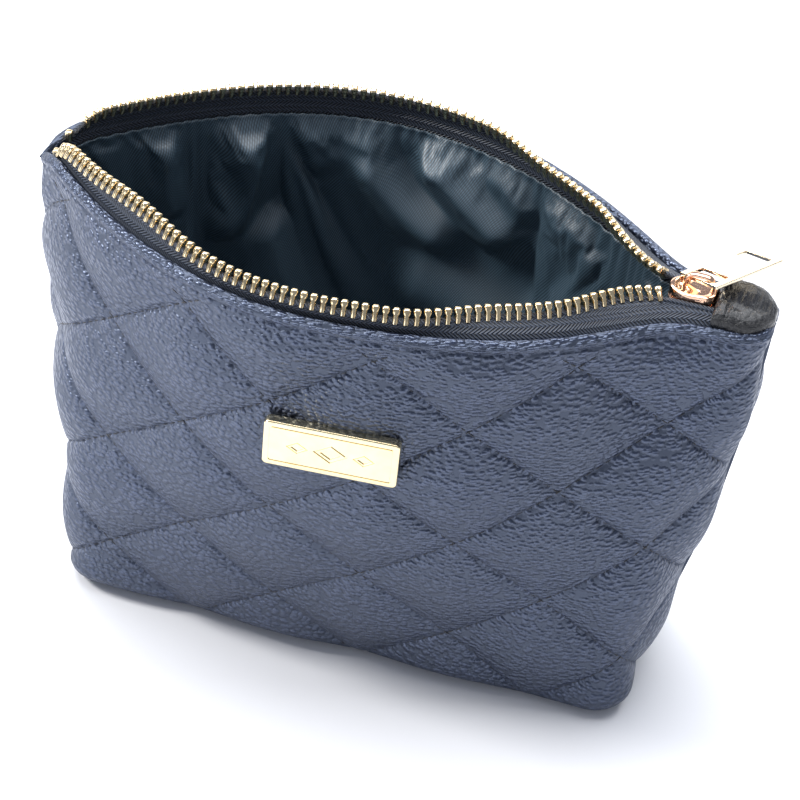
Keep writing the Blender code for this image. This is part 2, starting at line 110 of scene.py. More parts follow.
ZIP_START_X = -92 * MM

# Half the length of a wall along its rim, from seam to seam, and the quilting drawn on the flat wall.
WALL_HALF_ARC = 111 * MM
QUILT_STEP = (25.82 * MM, 19.10 * MM)
QUILT_START = (-95.84 * MM, 115.56 * MM)
QUILT_SPACING = 30.7 * MM
PILLOW = 2.6 * MM
STITCH_PITCH = 3.0 * MM
RIM_ROLL = 1.2 * MM
RIM_BAND = 3.2 * MM
FOOT_RADIUS = 6 * MM
WALL_DEPTH = 3.2 * MM

TOOTH_PITCH = 2.54 * MM


# ---------------------------------------------------------------- form of the walls


def smooth(share):
    share = np.clip(share, 0.0, 1.0)
    return share * share * (3 - 2 * share)


def mix(a, b, share):
    return a * (1 - share) + b * share


def opening(x):
    """Share of the full bow at x: a parabola from the left end to the slider, easing to 0 past it."""
    along = (x + RIM_HALF_LENGTH) / (MOUTH_END_X + RIM_HALF_LENGTH)
    parabola = 4 * along * (1 - along)
    return (parabola + np.sqrt(parabola**2 + (BOW_EASING * along**2) ** 2)) / 2


def closing(x):
    """0 over most of the mouth, rising to 1 at the slider."""
    return smooth(((x + RIM_HALF_LENGTH) / (MOUTH_END_X + RIM_HALF_LENGTH) - 0.55) / 0.45)


def rim_distance(x, side):
    """Distance of a wall's rim from the zip line."""
    gap = mix(RIM_GAP_LEFT, RIM_GAP_CLOSED, closing(x))
    radius = np.where(x > 0, RIM_ROUND_RIGHT, RIM_ROUND_LEFT)
    into_corner = np.clip((np.abs(x) - (RIM_HALF_LENGTH - radius)) / radius, 0, 1)
    gap = SEAM_HALF_GAP + (gap - SEAM_HALF_GAP) * np.sqrt(1 - into_corner**2)
    bow = FRONT_BOW if side < 0 else BACK_BOW
    return gap + bow * opening(x)


def rim_y(x, side):
    return ZIP_Y * closing(x) + side * rim_distance(x, side)


RIM_X = RIM_HALF_LENGTH * np.sin(np.linspace(-math.pi / 2, math.pi / 2, 600))


def rim_share(side):
    """Share of the rim's length at each of RIM_X, from -1 at the left seam to 1 at the right seam."""
    steps = np.hypot(np.diff(RIM_X), np.diff(rim_y(RIM_X, side)))
    length = np.concatenate([[0], np.cumsum(steps)])
    return 2 * length / length[-1] - 1


RIM_SHARE = {side: rim_share(side) for side in (-1, 1)}
RIM_Y = {side: rim_y(RIM_X, side) for side in (-1, 1)}


def rim_point(share, side):
    x = np.interp(share, RIM_SHARE[side], RIM_X)
    y = np.interp(share, RIM_SHARE[side], RIM_Y[side])
    into_corner = np.clip(1 - (x + RIM_HALF_LENGTH) / (2 * RIM_ROUND_LEFT), 0, 1)
    return x, y, RIM_HEIGHT - RIM_DROP_LEFT * into_corner**2


def base_point(share, side):
    """Half the base outline, from the left seam round two corners to the right seam."""
    straight = BASE_HALF_LENGTH - BASE_CORNER_RADIUS
    arc = math.pi / 2 * BASE_CORNER_RADIUS
    tail = BASE_HALF_DEPTH - BASE_CORNER_RADIUS - SEAM_HALF_GAP
    along = np.abs(share) * (straight + arc + tail)
    turn = np.clip((along - straight) / BASE_CORNER_RADIUS, 0, math.pi / 2)
    x = np.minimum(along, straight) + BASE_CORNER_RADIUS * np.sin(turn)
    y = BASE_HALF_DEPTH - BASE_CORNER_RADIUS * (1 - np.cos(turn)) - np.clip(along - straight - arc, 0, None)
    return x * np.sign(share), side * y


def wall_face(share, up, side):
    """The outer face of a wall without its quilting: share runs from seam to seam, up from base to rim."""
    low_x, low_y = base_point(share, side)
    top_x, top_y, top_z = rim_point(share, side)
    swell = np.sin(math.pi * up)
    x = mix(low_x, top_x, up) + SIDE_BULGE * swell * share**3
    y = mix(low_y, top_y, up) + side * WALL_BULGE * swell * (1 - share**2)
    return np.stack([x, y, top_z * up], -1)


def wall_point(share, up, side, depth):
    """Points at a depth inside a wall's outer face, with the unit vector pointing out."""
    step = 0.004
    ahead = wall_face(np.minimum(share + step, 1), up, side)
    behind = wall_face(np.maximum(share - step, -1), up, side)
    along = ahead - behind
    rise = wall_face(share, up + step, side) - wall_face(share, up - step, side)
    out = -side * np.cross(along, rise)
    out /= np.linalg.norm(out, axis=-1, keepdims=True)
    return wall_face(share, up, side) - np.asarray(depth)[..., None] * out, out


def fold_share(x, side):
    """How far a point of the wall above or below x on the rim follows the wall's body as the zip closes."""
    loose = opening(RIM_HALF_LENGTH)
    return np.clip((opening(x) - loose) / (1 - loose), 0, 1)


# ---------------------------------------------------------------- meshes


def new_object(name, mesh, smooth_angle=None):
    made = bpy.data.objects.new(name, mesh)
    bpy.context.scene.collection.objects.link(made)
    mesh.shade_smooth()
    if smooth_angle:
        mesh.set_sharp_from_angle(angle=math.radians(smooth_angle))
    return made


def set_attribute(mesh, name, values):
    """Stores one number or one vector for each point of a mesh."""
    values = np.asarray(values, np.float32)
    kind = "FLOAT" if values.ndim == 1 else "FLOAT_VECTOR"
    attribute = mesh.attributes.get(name) or mesh.attributes.new(name, kind, "POINT")
    attribute.data.foreach_set("value" if values.ndim == 1 else "vector", values.ravel())


def grid_mesh(name, points, wrap_rows=False, wrap_columns=False, caps=False, attributes=None):
    """A mesh through points[row, column]; wrapping joins the last row or column to the first."""
    rows, columns = points.shape[:2]
    index = np.arange(rows * columns).reshape(rows, columns)
    if wrap_rows:
        index = np.concatenate([index, index[:1]], 0)
    if wrap_columns:
        index = np.concatenate([index, index[:, :1]], 1)
    a, b = index[:-1, :-1].ravel(), index[:-1, 1:].ravel()
    c, d = index[1:, 1:].ravel(), index[1:, :-1].ravel()
    faces = np.stack([a, b, c, d], 1).tolist()
    if caps and wrap_rows:
        faces += [index[:-1, 0].tolist(), index[:-1, -1][::-1].tolist()]
    if caps and wrap_columns:
        faces += [index[0, :-1][::-1].tolist(), index[-1, :-1].tolist()]
    mesh = bpy.data.meshes.new(name)
    mesh.from_pydata(points.reshape(-1, 3).tolist(), [], faces)
    for key, values in (attributes or {}).items():
        values = np.asarray(values)
        set_attribute(mesh, key, values.reshape(rows * columns, *values.shape[2:]))
    face_out(mesh)
    return mesh


def face_out(mesh):
    turned = bmesh.new()
    turned.from_mesh(mesh)
    bmesh.ops.recalc_face_normals(turned, faces=turned.faces[:])
    turned.to_mesh(mesh)
    turned.free()


def fold_with_wall(piece, side, weights):
    """Bends a piece between the root and a wall's body; each point follows the wall by its own weight."""
    hinge_y = side * BASE_HALF_DEPTH
    wall = "front_wall" if side < 0 else "back_wall"
    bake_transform(piece, "root", wall, start=(0, hinge_y, 0), end=(0, hinge_y, RIM_HEIGHT))
    set_attribute(piece.data, "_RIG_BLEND", weights)
    return piece


# ---------------------------------------------------------------- materials


class Shader:
    """A Principled material and short calls for its nodes."""

    def __init__(self, name, colour, roughness, metallic=0.0, **sockets):
        self.material = bpy.data.materials.new(name)
        self.material.use_nodes = True
        self.tree = self.material.node_tree
        self.surface = self.tree.nodes["Principled BSDF"]
        self.surface.inputs["Base Color"].default_value = (*colour, 1)
        self.surface.inputs["Roughness"].default_value = roughness
        self.surface.inputs["Metallic"].default_value = metallic
        for socket, value in sockets.items():
            self.surface.inputs[socket.replace("_", " ")].default_value = value

    def node(self, kind, settings=None, **inputs):
        made = self.tree.nodes.new(kind)
        for key, value in (settings or {}).items():
            setattr(made, key, value)
        for key, value in inputs.items():
            self.feed(made.inputs[key.replace("_", " ")], value)
        return made

    def feed(self, socket, value):
        if isinstance(value, bpy.types.NodeSocket):
            self.tree.links.new(value, socket)
        else:
            socket.default_value = value

    def attribute(self, name):
        return self.node("ShaderNodeAttribute", {"attribute_name": name}).outputs["Vector"]

    def scaled(self, vector, scale):
        made = self.node("ShaderNodeVectorMath", {"operation": "MULTIPLY"})
        self.feed(made.inputs[0], vector)
        self.feed(made.inputs[1], scale)
        return made.outputs["Vector"]

    def math(self, operation, a, b=0.0, clamp=False):
        made = self.node("ShaderNodeMath", {"operation": operation, "use_clamp": clamp})
        self.feed(made.inputs[0], a)
        self.feed(made.inputs[1], b)
        return made.outputs["Value"]

    def remap(self, value, low, high, new_low, new_high):
        made = self.node("ShaderNodeMapRange", Value=value)
        names = ("From Min", "From Max", "To Min", "To Max")
        for socket, number in zip(names, (low, high, new_low, new_high)):
            made.inputs[socket].default_value = number
        return made.outputs["Result"]

    def noise(self, vector, scale, detail=3.0, roughness=0.5):
        made = self.node("ShaderNodeTexNoise", Vector=vector, Scale=scale, Detail=detail, Roughness=roughness)
        return made.outputs["Fac"]

    def cells(self, vector, scale, feature="F1", smoothness=0.5):
        made = self.node("ShaderNodeTexVoronoi", {"feature": feature}, Vector=vector, Scale=scale)
        if feature == "SMOOTH_F1":
            made.inputs["Smoothness"].default_value = smoothness
        return made.outputs["Distance"]

    def colours(self, share, low, high):
        made = self.node("ShaderNodeMix", {"data_type": "RGBA"})
        self.feed(made.inputs["Factor"], share)
        made.inputs[6].default_value = (*low, 1)
        made.inputs[7].default_value = (*high, 1)
        self.feed(self.surface.inputs["Base Color"], made.outputs[2])
        return self

    def gloss(self, value):
        self.feed(self.surface.inputs["Roughness"], value)
        return self

    def bump(self, height, distance, strength=1.0, under=None):
        made = self.node("ShaderNodeBump", Height=height, Distance=distance, Strength=strength)
        if under is not None:
            self.feed(made.inputs["Normal"], under)
        self.feed(self.surface.inputs["Normal"], made.outputs["Normal"])
        return made.outputs["Normal"]


def leather_material():
    """Pebbled leather: rounded cells about 1.3 mm wide with fine pores, glossier on top of each cell. The
    colour holds painted shade, darker in the grooves between cells, and a blue tint that is painted
    reflection of bluish light.
    """
    # The blue of the base colour and of the specular tint is painted reflection of bluish light on near-black
    # leather.
    made = Shader("pebbled_leather", (0.02, 0.024, 0.04), 0.4, Specular_IOR_Level=0.95, IOR=1.75)
    made.surface.inputs["Specular Tint"].default_value = (0.62, 0.73, 1.0, 1)
    flat = made.attribute("cut")
    wander = made.node("ShaderNodeTexNoise", Vector=flat, Scale=330.0, Detail=1.0).outputs["Color"]
    bent = made.node("ShaderNodeVectorMath", {"operation": "MULTIPLY_ADD"})
    made.feed(bent.inputs[0], wander)
    bent.inputs[1].default_value = (0.0008, 0.0008, 0)
    made.feed(bent.inputs[2], made.scaled(flat, (1.0, 1.3, 1.0)))
    away = made.cells(bent.outputs["Vector"], 620.0)
    fallen = made.math("MULTIPLY", away, made.math("MULTIPLY", away, 1.9))
    dome = made.math("SUBTRACT", 1.0, fallen, clamp=True)
    pores = made.noise(flat, 4200.0, 2.0)
    broad = made.noise(flat, 40.0, 3.0)
    # Painted shade: the colour is darker in the grooves between the pebble domes and lighter on their tops,
    # with random tone from the broad noise; the blue of both colours is painted reflection.
    made.colours(made.math("MULTIPLY", dome, broad), (0.002, 0.003, 0.006), (0.018, 0.025, 0.062))
    made.gloss(made.remap(dome, 0.2, 1.0, 0.52, 0.27))
    fine = made.bump(pores, 0.00004, 0.4)
    made.bump(dome, 0.00046, 1.0, fine)
    return made.material


def tab_material():
    """Smooth glossy leather with fine creases."""
    made = Shader(
        "creased_leather",
        (0.008, 0.008, 0.010),
        0.2,
        Specular_IOR_Level=0.45,
        Coat_Weight=0.3,
        Coat_Roughness=0.08,
    )
    flat = made.attribute("cut")
    creases = made.cells(made.scaled(flat, (1.3, 0.6, 1.0)), 300.0, "DISTANCE_TO_EDGE")
    line = made.remap(creases, 0.0, 0.16, 0.0, 1.0)
    swell = made.noise(flat, 300.0, 5.0, 0.65)
    made.colours(swell, (0.002, 0.002, 0.003), (0.012, 0.013, 0.016))
    made.gloss(made.remap(swell, 0.3, 0.7, 0.12, 0.28))
    under = made.bump(line, 0.00030, 0.8)
    made.bump(swell, 0.0016, 1.0, under)
    return made.material


def lining_material():
    """Satin twill: fine diagonal ribs and a sheen along the folds."""
    made = Shader("satin_lining", (0.05, 0.075, 0.09), 0.46, Anisotropic=0.3, Specular_IOR_Level=0.8)
    flat = made.attribute("cut")
    turned = made.node(
        "ShaderNodeVectorRotate",
        {"rotation_type": "Z_AXIS"},
        Vector=flat,
        Angle=math.radians(32),
    )
    ribs = made.node("ShaderNodeTexWave", {"bands_direction": "X"}, Vector=turned.outputs[0], Scale=520.0)
    crossed = made.node(
        "ShaderNodeVectorRotate",
        {"rotation_type": "Z_AXIS"},
        Vector=flat,
        Angle=math.radians(-58),
    )
    threads = made.node("ShaderNodeTexWave", {"bands_direction": "X"}, Vector=crossed.outputs[0], Scale=520.0)
    weave = made.math("MULTIPLY", ribs.outputs["Fac"], made.remap(threads.outputs["Fac"], 0, 1, 0.55, 1))
    made.colours(weave, (0.012, 0.022, 0.031), (0.088, 0.148, 0.200))
    made.gloss(made.remap(weave, 0, 1, 0.52, 0.40))
    made.bump(weave, 0.00010, 0.35)
    return made.material


def tape_material():
    """Herringbone: diagonal ribs that turn at each column of the weave."""
    made = Shader("woven_tape", (0.012, 0.012, 0.015), 0.5, Specular_IOR_Level=0.6)
    flat = made.attribute("cut")
    split = made.node("ShaderNodeSeparateXYZ", Vector=flat)
    along, across = split.outputs["X"], split.outputs["Y"]
    zigzag = made.math("PINGPONG", across, 0.0015)
    diagonal = made.math("ADD", along, made.math("MULTIPLY", zigzag, 1.3))
    ribs = made.math("SINE", made.math("MULTIPLY", diagonal, 2 * math.pi / 0.0011))
    columns = made.math("SINE", made.math("MULTIPLY", across, 2 * math.pi / 0.0015))
    weave = made.remap(made.math("ADD", ribs, made.math("MULTIPLY", columns, 0.35)), -1.35, 1.35, 0.0, 1.0)
    made.colours(weave, (0.002, 0.003, 0.005), (0.085, 0.105, 0.150))
    made.bump(weave, 0.00045, 1.0)
    return made.material


def thread_material():
    made = Shader("sewing_thread", (0.008, 0.008, 0.010), 0.55, Sheen_Weight=0.2)
    flat = made.attribute("cut")
    twist = made.node("ShaderNodeTexWave", {"bands_direction": "DIAGONAL"}, Vector=flat, Scale=900.0)
    made.colours(twist.outputs["Fac"], (0.004, 0.004, 0.006), (0.022, 0.022, 0.028))
    made.bump(twist.outputs["Fac"], 0.00008, 0.6)
    return made.material


def metal_material(name, low, high, roughness, bump_scale=900.0):
    """Plated brass with faint polishing marks and small changes of tint."""
    made = Shader(name, high, roughness, 1.0)
    place = made.node("ShaderNodeTexCoord").outputs["Object"]
    tint = made.noise(place, 320.0, 3.0)
    marks = made.noise(made.scaled(place, (1.0, 6.0, 6.0)), bump_scale, 4.0, 0.65)
    made.colours(tint, low, high)
    made.gloss(made.remap(marks, 0.3, 0.75, roughness * 0.7, roughness * 1.7))
    made.bump(marks, 0.00002, 0.25)
    return made.material


leather = leather_material()
tab_leather = tab_material()
lining = lining_material()
tape = tape_material()
thread = thread_material()
teeth_gold = metal_material("teeth_gold", (0.78, 0.58, 0.32), (0.98, 0.84, 0.56), 0.17)
rose_gold = metal_material("rose_gold", (0.92, 0.52, 0.34), (0.98, 0.68, 0.50), 0.10)
pull_gold = metal_material("pull_gold", (0.95, 0.80, 0.56), (1.0, 0.88, 0.68), 0.12)
plate_gold = metal_material("plate_gold", (0.94, 0.76, 0.42), (1.0, 0.88, 0.60), 0.13)
steel = metal_material("washer_steel", (0.5, 0.5, 0.52), (0.66, 0.66, 0.68), 0.3)


# ---------------------------------------------------------------- quilted leather walls


def lattice(u, v):
    """Quilting coordinates of a point of the flat wall: a stitched line runs at each whole number."""
    across, rise = (u - QUILT_START[0]) / QUILT_STEP[0], (v - QUILT_START[1]) / QUILT_STEP[1]
    return (across + rise) / 2, (across - rise) / 2


def quilting(u, v):
    """Height of the padded leather above its stitched lines, with puckers beside them."""
    i, j = lattice(u, v)
    fade = smooth((RIM_HEIGHT - RIM_BAND - v) / (7 * MM))
    height = np.ones_like(u)
    nearest = np.full_like(u, 1.0)
    for line in (i, j):
        inside = line - np.floor(line)
        height *= np.clip(4 * inside * (1 - inside), 0, 1) ** 0.72
        nearest = np.minimum(nearest, np.minimum(inside, 1 - inside) * QUILT_SPACING)
    crease = np.exp(-((nearest / (0.38 * MM)) ** 2))
    puckers = np.sin(2 * math.pi * (i - j) * QUILT_SPACING / STITCH_PITCH) * np.exp(-nearest / (1.6 * MM))
    return fade * (PILLOW * (height - 0.5) - 0.30 * MM * crease + 0.05 * MM * puckers)


def unevenness(u, v, side):
    """Slow dents of soft leather."""
    seed = 3.7 * side
    values = [
        noise.noise(Vector((a * 26, b * 30, seed))) * 0.9
        + noise.noise(Vector((a * 75, b * 75, seed + 9))) * 0.28
        for a, b in zip(u.ravel(), v.ravel())
    ]
    return np.array(values).reshape(u.shape) * MM


def side_turn(share):
    """0 over the wall, rising to 1 where its edge turns in at a side seam."""
    return np.clip((np.abs(share) - 0.968) / 0.032, 0, 1)


def outer_wall(share, up, side, lift=0.0):
    """Points of a wall's finished outer face: quilted, rounded at the foot, turned in at the seams."""
    u, v = share * WALL_HALF_ARC, up * RIM_HEIGHT
    below_rim = RIM_HEIGHT - v
    band = np.exp(-(((below_rim - RIM_BAND) / (0.45 * MM)) ** 2))
    welt = 0.6 * MM * np.sqrt(np.clip(1 - (2 * below_rim / RIM_BAND - 1) ** 2, 0, 1))
    relief = quilting(u, v) + unevenness(u, v, side) * smooth(below_rim / (8 * MM)) - 0.6 * MM * band + welt
    foot = np.clip(1 - v / FOOT_RADIUS, 0, 1)
    tuck = FOOT_RADIUS * (1 - np.sqrt(1 - np.minimum(foot, 0.995) ** 2))
    seam = side_turn(share)
    depth = -relief * (1 - seam) * (1 - foot) + tuck
    depth = depth + 1.8 * MM * (1 - np.sqrt(1 - seam**2)) - 1.2 * MM * (1 - up) ** 6
    points, out = wall_point(share, up, side, depth - lift)
    middle = ZIP_Y * up
    points[..., 1] = mix(points[..., 1], middle + side * 0.15 * MM, seam * 0.92)
    return points, out


def wall_weights(share, side, heights):
    x = np.interp(share, RIM_SHARE[side], RIM_X)
    return fold_share(x, side) * np.ones_like(heights)


def plate_share(points, side):
    """1 on the front wall behind the nameplate and a little round it, 0 further away."""
    if side > 0:
        return np.zeros(points.shape[:-1])
    low, high = (np.array(corner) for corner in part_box("nameplate"))
    away = np.maximum(np.maximum(low - points, points - high), 0)[..., [0, 2]]
    return 1 - smooth(np.linalg.norm(away, axis=-1) / (26 * MM))


def build_wall(prefix, side):
    """A padded wall as one closed piece: quilted face, rolled rim and plain inner face."""
    columns, rows = 440, 250
    share = np.linspace(-1, 1, columns)
    foot_rows = FOOT_RADIUS * (1 - np.cos(np.linspace(0.06, math.pi / 2, 8)[:-1])) / RIM_HEIGHT
    roll_low = 1 - RIM_ROLL / RIM_HEIGHT
    ups = np.concatenate([foot_rows, np.linspace(FOOT_RADIUS / RIM_HEIGHT, roll_low, rows)])
    grid_share, grid_up = np.meshgrid(share, ups)
    face, _ = outer_wall(grid_share, grid_up, side)
    layers, flats = [face], [np.stack([grid_share * WALL_HALF_ARC, grid_up * RIM_HEIGHT, 0 * grid_up], -1)]

    seam = side_turn(share)
    rim_low, _ = wall_point(share, np.full_like(share, roll_low), side, np.zeros_like(share))
    rim_in, _ = wall_point(share, np.full_like(share, roll_low), side, np.full_like(share, 2 * RIM_ROLL))
    rim_low[:, 1] = mix(rim_low[:, 1], ZIP_Y * roll_low + side * 0.15 * MM, seam * 0.92)
    wrinkle = 0.10 * MM * np.sin(share * WALL_HALF_ARC / (1.9 * MM) + 2 * np.sin(share * 40))
    for turn in np.linspace(0, math.pi, 9)[1:]:
        ring = mix(rim_low, rim_in, (1 - math.cos(turn)) / 2)
        ring[:, 2] += (RIM_ROLL + wrinkle) * math.sin(turn)
        layers.append(ring[None])
        flats.append(np.stack([share, 1 + 0 * share, 0 * share], -1)[None] * (WALL_HALF_ARC, RIM_HEIGHT, 0))
        flats[-1][..., 1] += turn * RIM_ROLL
    for up in np.linspace(roll_low - 0.01, 0.035, 10):
        thick = mix(2 * RIM_ROLL, WALL_DEPTH, min(1, (roll_low - up) * 12))
        inner_depth = np.full_like(share, thick) - 0.9 * MM * seam
        inner, _ = wall_point(share, np.full_like(share, up), side, inner_depth)
        inner[:, 1] = mix(inner[:, 1], ZIP_Y * up + side * 0.6 * MM, seam * 0.5)
        layers.append(inner[None])
        cut_v = 2 * RIM_HEIGHT - up * RIM_HEIGHT + 0 * share
        flats.append(np.stack([share * WALL_HALF_ARC, cut_v, 0 * share], -1)[None])
    points = np.concatenate(layers)
    cut = {"cut": np.concatenate(flats)}
    mesh = grid_mesh(prefix + "_quilted_wall", points, wrap_rows=True, caps=True, attributes=cut)
    made = new_object(prefix + "_quilted_wall", mesh)
    mesh.materials.append(leather)
    weights = wall_weights(np.broadcast_to(share, points.shape[:2]), side, points[..., 2])
    weights = mix(weights, 1.0, plate_share(points, side))
    fold_with_wall(made, side, weights.ravel())
    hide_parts(prefix + "_panel", prefix + "_wadding")
    return made


def build_stitches(prefix, side):
    """The quilting thread: one short capsule for each stitch, lying in the crease of its line."""
    stations, sides = (-0.5, -0.36, 0.0, 0.36, 0.5), 5
    widths = (0.25, 0.85, 1.0, 0.85, 0.25)
    starts = []
    reach_u, reach_v = 0.94 * WALL_HALF_ARC, RIM_HEIGHT - RIM_BAND - 3 * MM
    for family in (1, -1):
        direction = np.array([QUILT_STEP[0], family * QUILT_STEP[1]])
        length = np.linalg.norm(direction)
        for line in range(-12, 13):
            origin = np.array(QUILT_START) + line * np.array([QUILT_STEP[0], -family * QUILT_STEP[1]])
            for step in range(-110, 111):
                middle = origin + direction / length * (step + 0.5) * STITCH_PITCH
                if abs(middle[0]) < reach_u and 4 * MM < middle[1] < reach_v:
                    starts.append((*middle, *(direction / length)))
    starts = np.array(starts)
    long = 2.1 * MM
    rings = []
    for station, width in zip(stations, widths):
        u = starts[:, 0] + starts[:, 2] * long * station
        v = starts[:, 1] + starts[:, 3] * long * station
        sunk = -0.10 * MM * (2 * abs(station)) ** 3
        centre, out = outer_wall(u / WALL_HALF_ARC, v / RIM_HEIGHT, side, 0.12 * MM + sunk)
        rings.append((centre, out, width))
    along = rings[-1][0] - rings[0][0]
    along /= np.linalg.norm(along, axis=1, keepdims=True)
    parts = []
    for centre, out, width in rings:
        beside = np.cross(along, out)
        for spoke in range(sides):
            angle = 2 * math.pi * spoke / sides
            reach = 0.21 * MM * width
            parts.append(centre + reach * (math.cos(angle) * beside + math.sin(angle) * out))
    points = np.stack(parts, 1)
    count, ring_count = len(starts), len(stations)
    faces = []
    for stitch in range(count):
        first = stitch * ring_count * sides
        for ring in range(ring_count - 1):
            for spoke in range(sides):
                a, b = first + ring * sides + spoke, first + ring * sides + (spoke + 1) % sides
                faces.append((a, b, b + sides, a + sides))
        faces.append([first + spoke for spoke in range(sides)][::-1])
        faces.append([first + (ring_count - 1) * sides + spoke for spoke in range(sides)])
    mesh = bpy.data.meshes.new(prefix + "_quilting_thread")
    mesh.from_pydata(points.reshape(-1, 3).tolist(), [], faces)
    set_attribute(mesh, "cut", points.reshape(-1, 3))
    face_out(mesh)
    made = new_object(prefix + "_quilting_thread", mesh)
    mesh.materials.append(thread)
    share = np.repeat(starts[:, 0] / WALL_HALF_ARC, ring_count * sides)
    weights = wall_weights(share, side, share)
    weights = mix(weights, 1.0, plate_share(points.reshape(-1, 3), side))
    fold_with_wall(made, side, weights)
    return made


def build_base():
    """The base: a padded leather slab with rounded edges between the feet of the walls."""
    inset = FOOT_RADIUS * 0.72
    rings = []
    foot_rings = (
        (0.0, 2.6 * MM),
        (0.0, 1.6 * MM),
        (0.6 * MM, 0.7 * MM),
        (1.8 * MM, 0.12 * MM),
        (6 * MM, 0.0),
    )
    for shrink, z in foot_rings:
        outline = []
        for side in (-1, 1):
            share = np.linspace(-1, 1, 90)
            x, y = base_point(share, side)
            outline.append(np.stack([x, y], 1)[:: -side])
        outline = np.concatenate(outline)
        size = 1 - (inset + shrink) / np.array([BASE_HALF_LENGTH, BASE_HALF_DEPTH])
        rings.append(np.concatenate([outline * size, np.full((len(outline), 1), z)], 1))
    top = rings[0] * (0.9, 0.9, 1.0)
    points = np.stack([top, *rings])
    mesh = grid_mesh("base_leather", points, wrap_columns=True, caps=True, attributes={"cut": points})
    made = new_object("base_leather", mesh)
    mesh.materials.append(leather)
    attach(made, "root")
    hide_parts("base_panel", "base_wadding")


# ---------------------------------------------------------------- lining

LINING_TOP = lining_high[2]
LINING_FLOOR = 5.2 * MM
LINING_DEPTH = 4.4 * MM
LINING_EASE = 0.06
# The loose folds of the lining: start, bend and end of each crest as
# millimetres along the wall and down from the
# lining's top edge, then how wide and how high the fold is.
FOLDS = (
    ((-78, 2), (-84, 12), (-76, 32), 5.0, 6.0),
    ((-61, 0), (-46, 16), (-70, 42), 6.0, 10.0),
    ((-52, 0), (-55, 8), (-52, 17), 3.4, 5.0),
    ((-30, 0), (-34, 6), (-46, 8), 3.4, 5.0),
    ((-18, 0), (-26, 12), (-46, 13), 4.0, 6.0),
    ((-25, 3), (-15, 25), (16, 28), 6.5, 11.0),
    ((-6, 0), (8, 11), (34, 22), 6.0, 11.0),
    ((13, 0), (21, 5), (33, 12), 4.0, 5.0),
    ((33, 0), (48, 6), (62, 15), 5.0, 4.5),
    ((-52, 27), (-46, 46), (-30, 78), 10.0, 8.0),
    ((-12, 40), (18, 46), (52, 62), 11.0, 9.0),
    ((40, 26), (62, 48), (58, 82), 10.0, 7.0),
    ((-80, 40), (-72, 62), (-60, 92), 9.0, 6.0),
    ((82, 8), (76, 30), (84, 70), 7.0, 5.0),
)


def softened(heights, rounds):
    """Evens out a grid of heights by averaging each with its neighbours."""
    for _ in range(rounds):
        wide = np.pad(heights, 1, mode="edge")
        around = wide[:-2, 1:-1] + wide[2:, 1:-1] + wide[1:-1, :-2] + wide[1:-1, 2:]
        heights = mix(heights, around / 4, 0.7)
    return heights


def fold_height(u, v, side):
    """How far the loose lining stands off the wall; each fold has a gentle and a steep flank."""
    total = np.zeros_like(u)
    steps = np.linspace(0, 1, 41)[:, None]
    for start, bend, end, width, size in FOLDS:
        start, bend, end = (np.array(point) * MM * (side, 1) for point in (start, bend, end))
        curve = start * (1 - steps) ** 2 + 2 * bend * steps * (1 - steps) + end * steps**2
        nearest = np.full(u.shape, 1.0)
        share, lean = np.zeros_like(u), np.zeros_like(u)
        for number, (first, last) in enumerate(zip(curve, curve[1:])):
            step = last - first
            part = np.clip(((u - first[0]) * step[0] + (v - first[1]) * step[1]) / (step @ step), 0, 1)
            off_u, off_v = u - first[0] - part * step[0], v - first[1] - part * step[1]
            away = np.hypot(off_u, off_v)
            closer = away < nearest
            nearest = np.where(closer, away, nearest)
            share = np.where(closer, (number + part) / 40, share)
            lean = np.where(closer, 0.9 * off_u * side + 0.3 * off_v, lean)
        steepness = mix(0.8, 1.7, smooth(0.5 - lean / (3 * MM)))
        ends = smooth(share / 0.25 + 0.25) * smooth((1 - share) / 0.3 + 0.15)
        fold = size * MM * ends * np.exp(-((nearest / (width * MM * steepness)) ** 2))
        total = np.log(np.exp(total / (1.5 * MM)) + np.exp(fold / (1.5 * MM)) - 1) * 1.5 * MM
    return total


LINING_FLOOR_RUN = 24 * MM


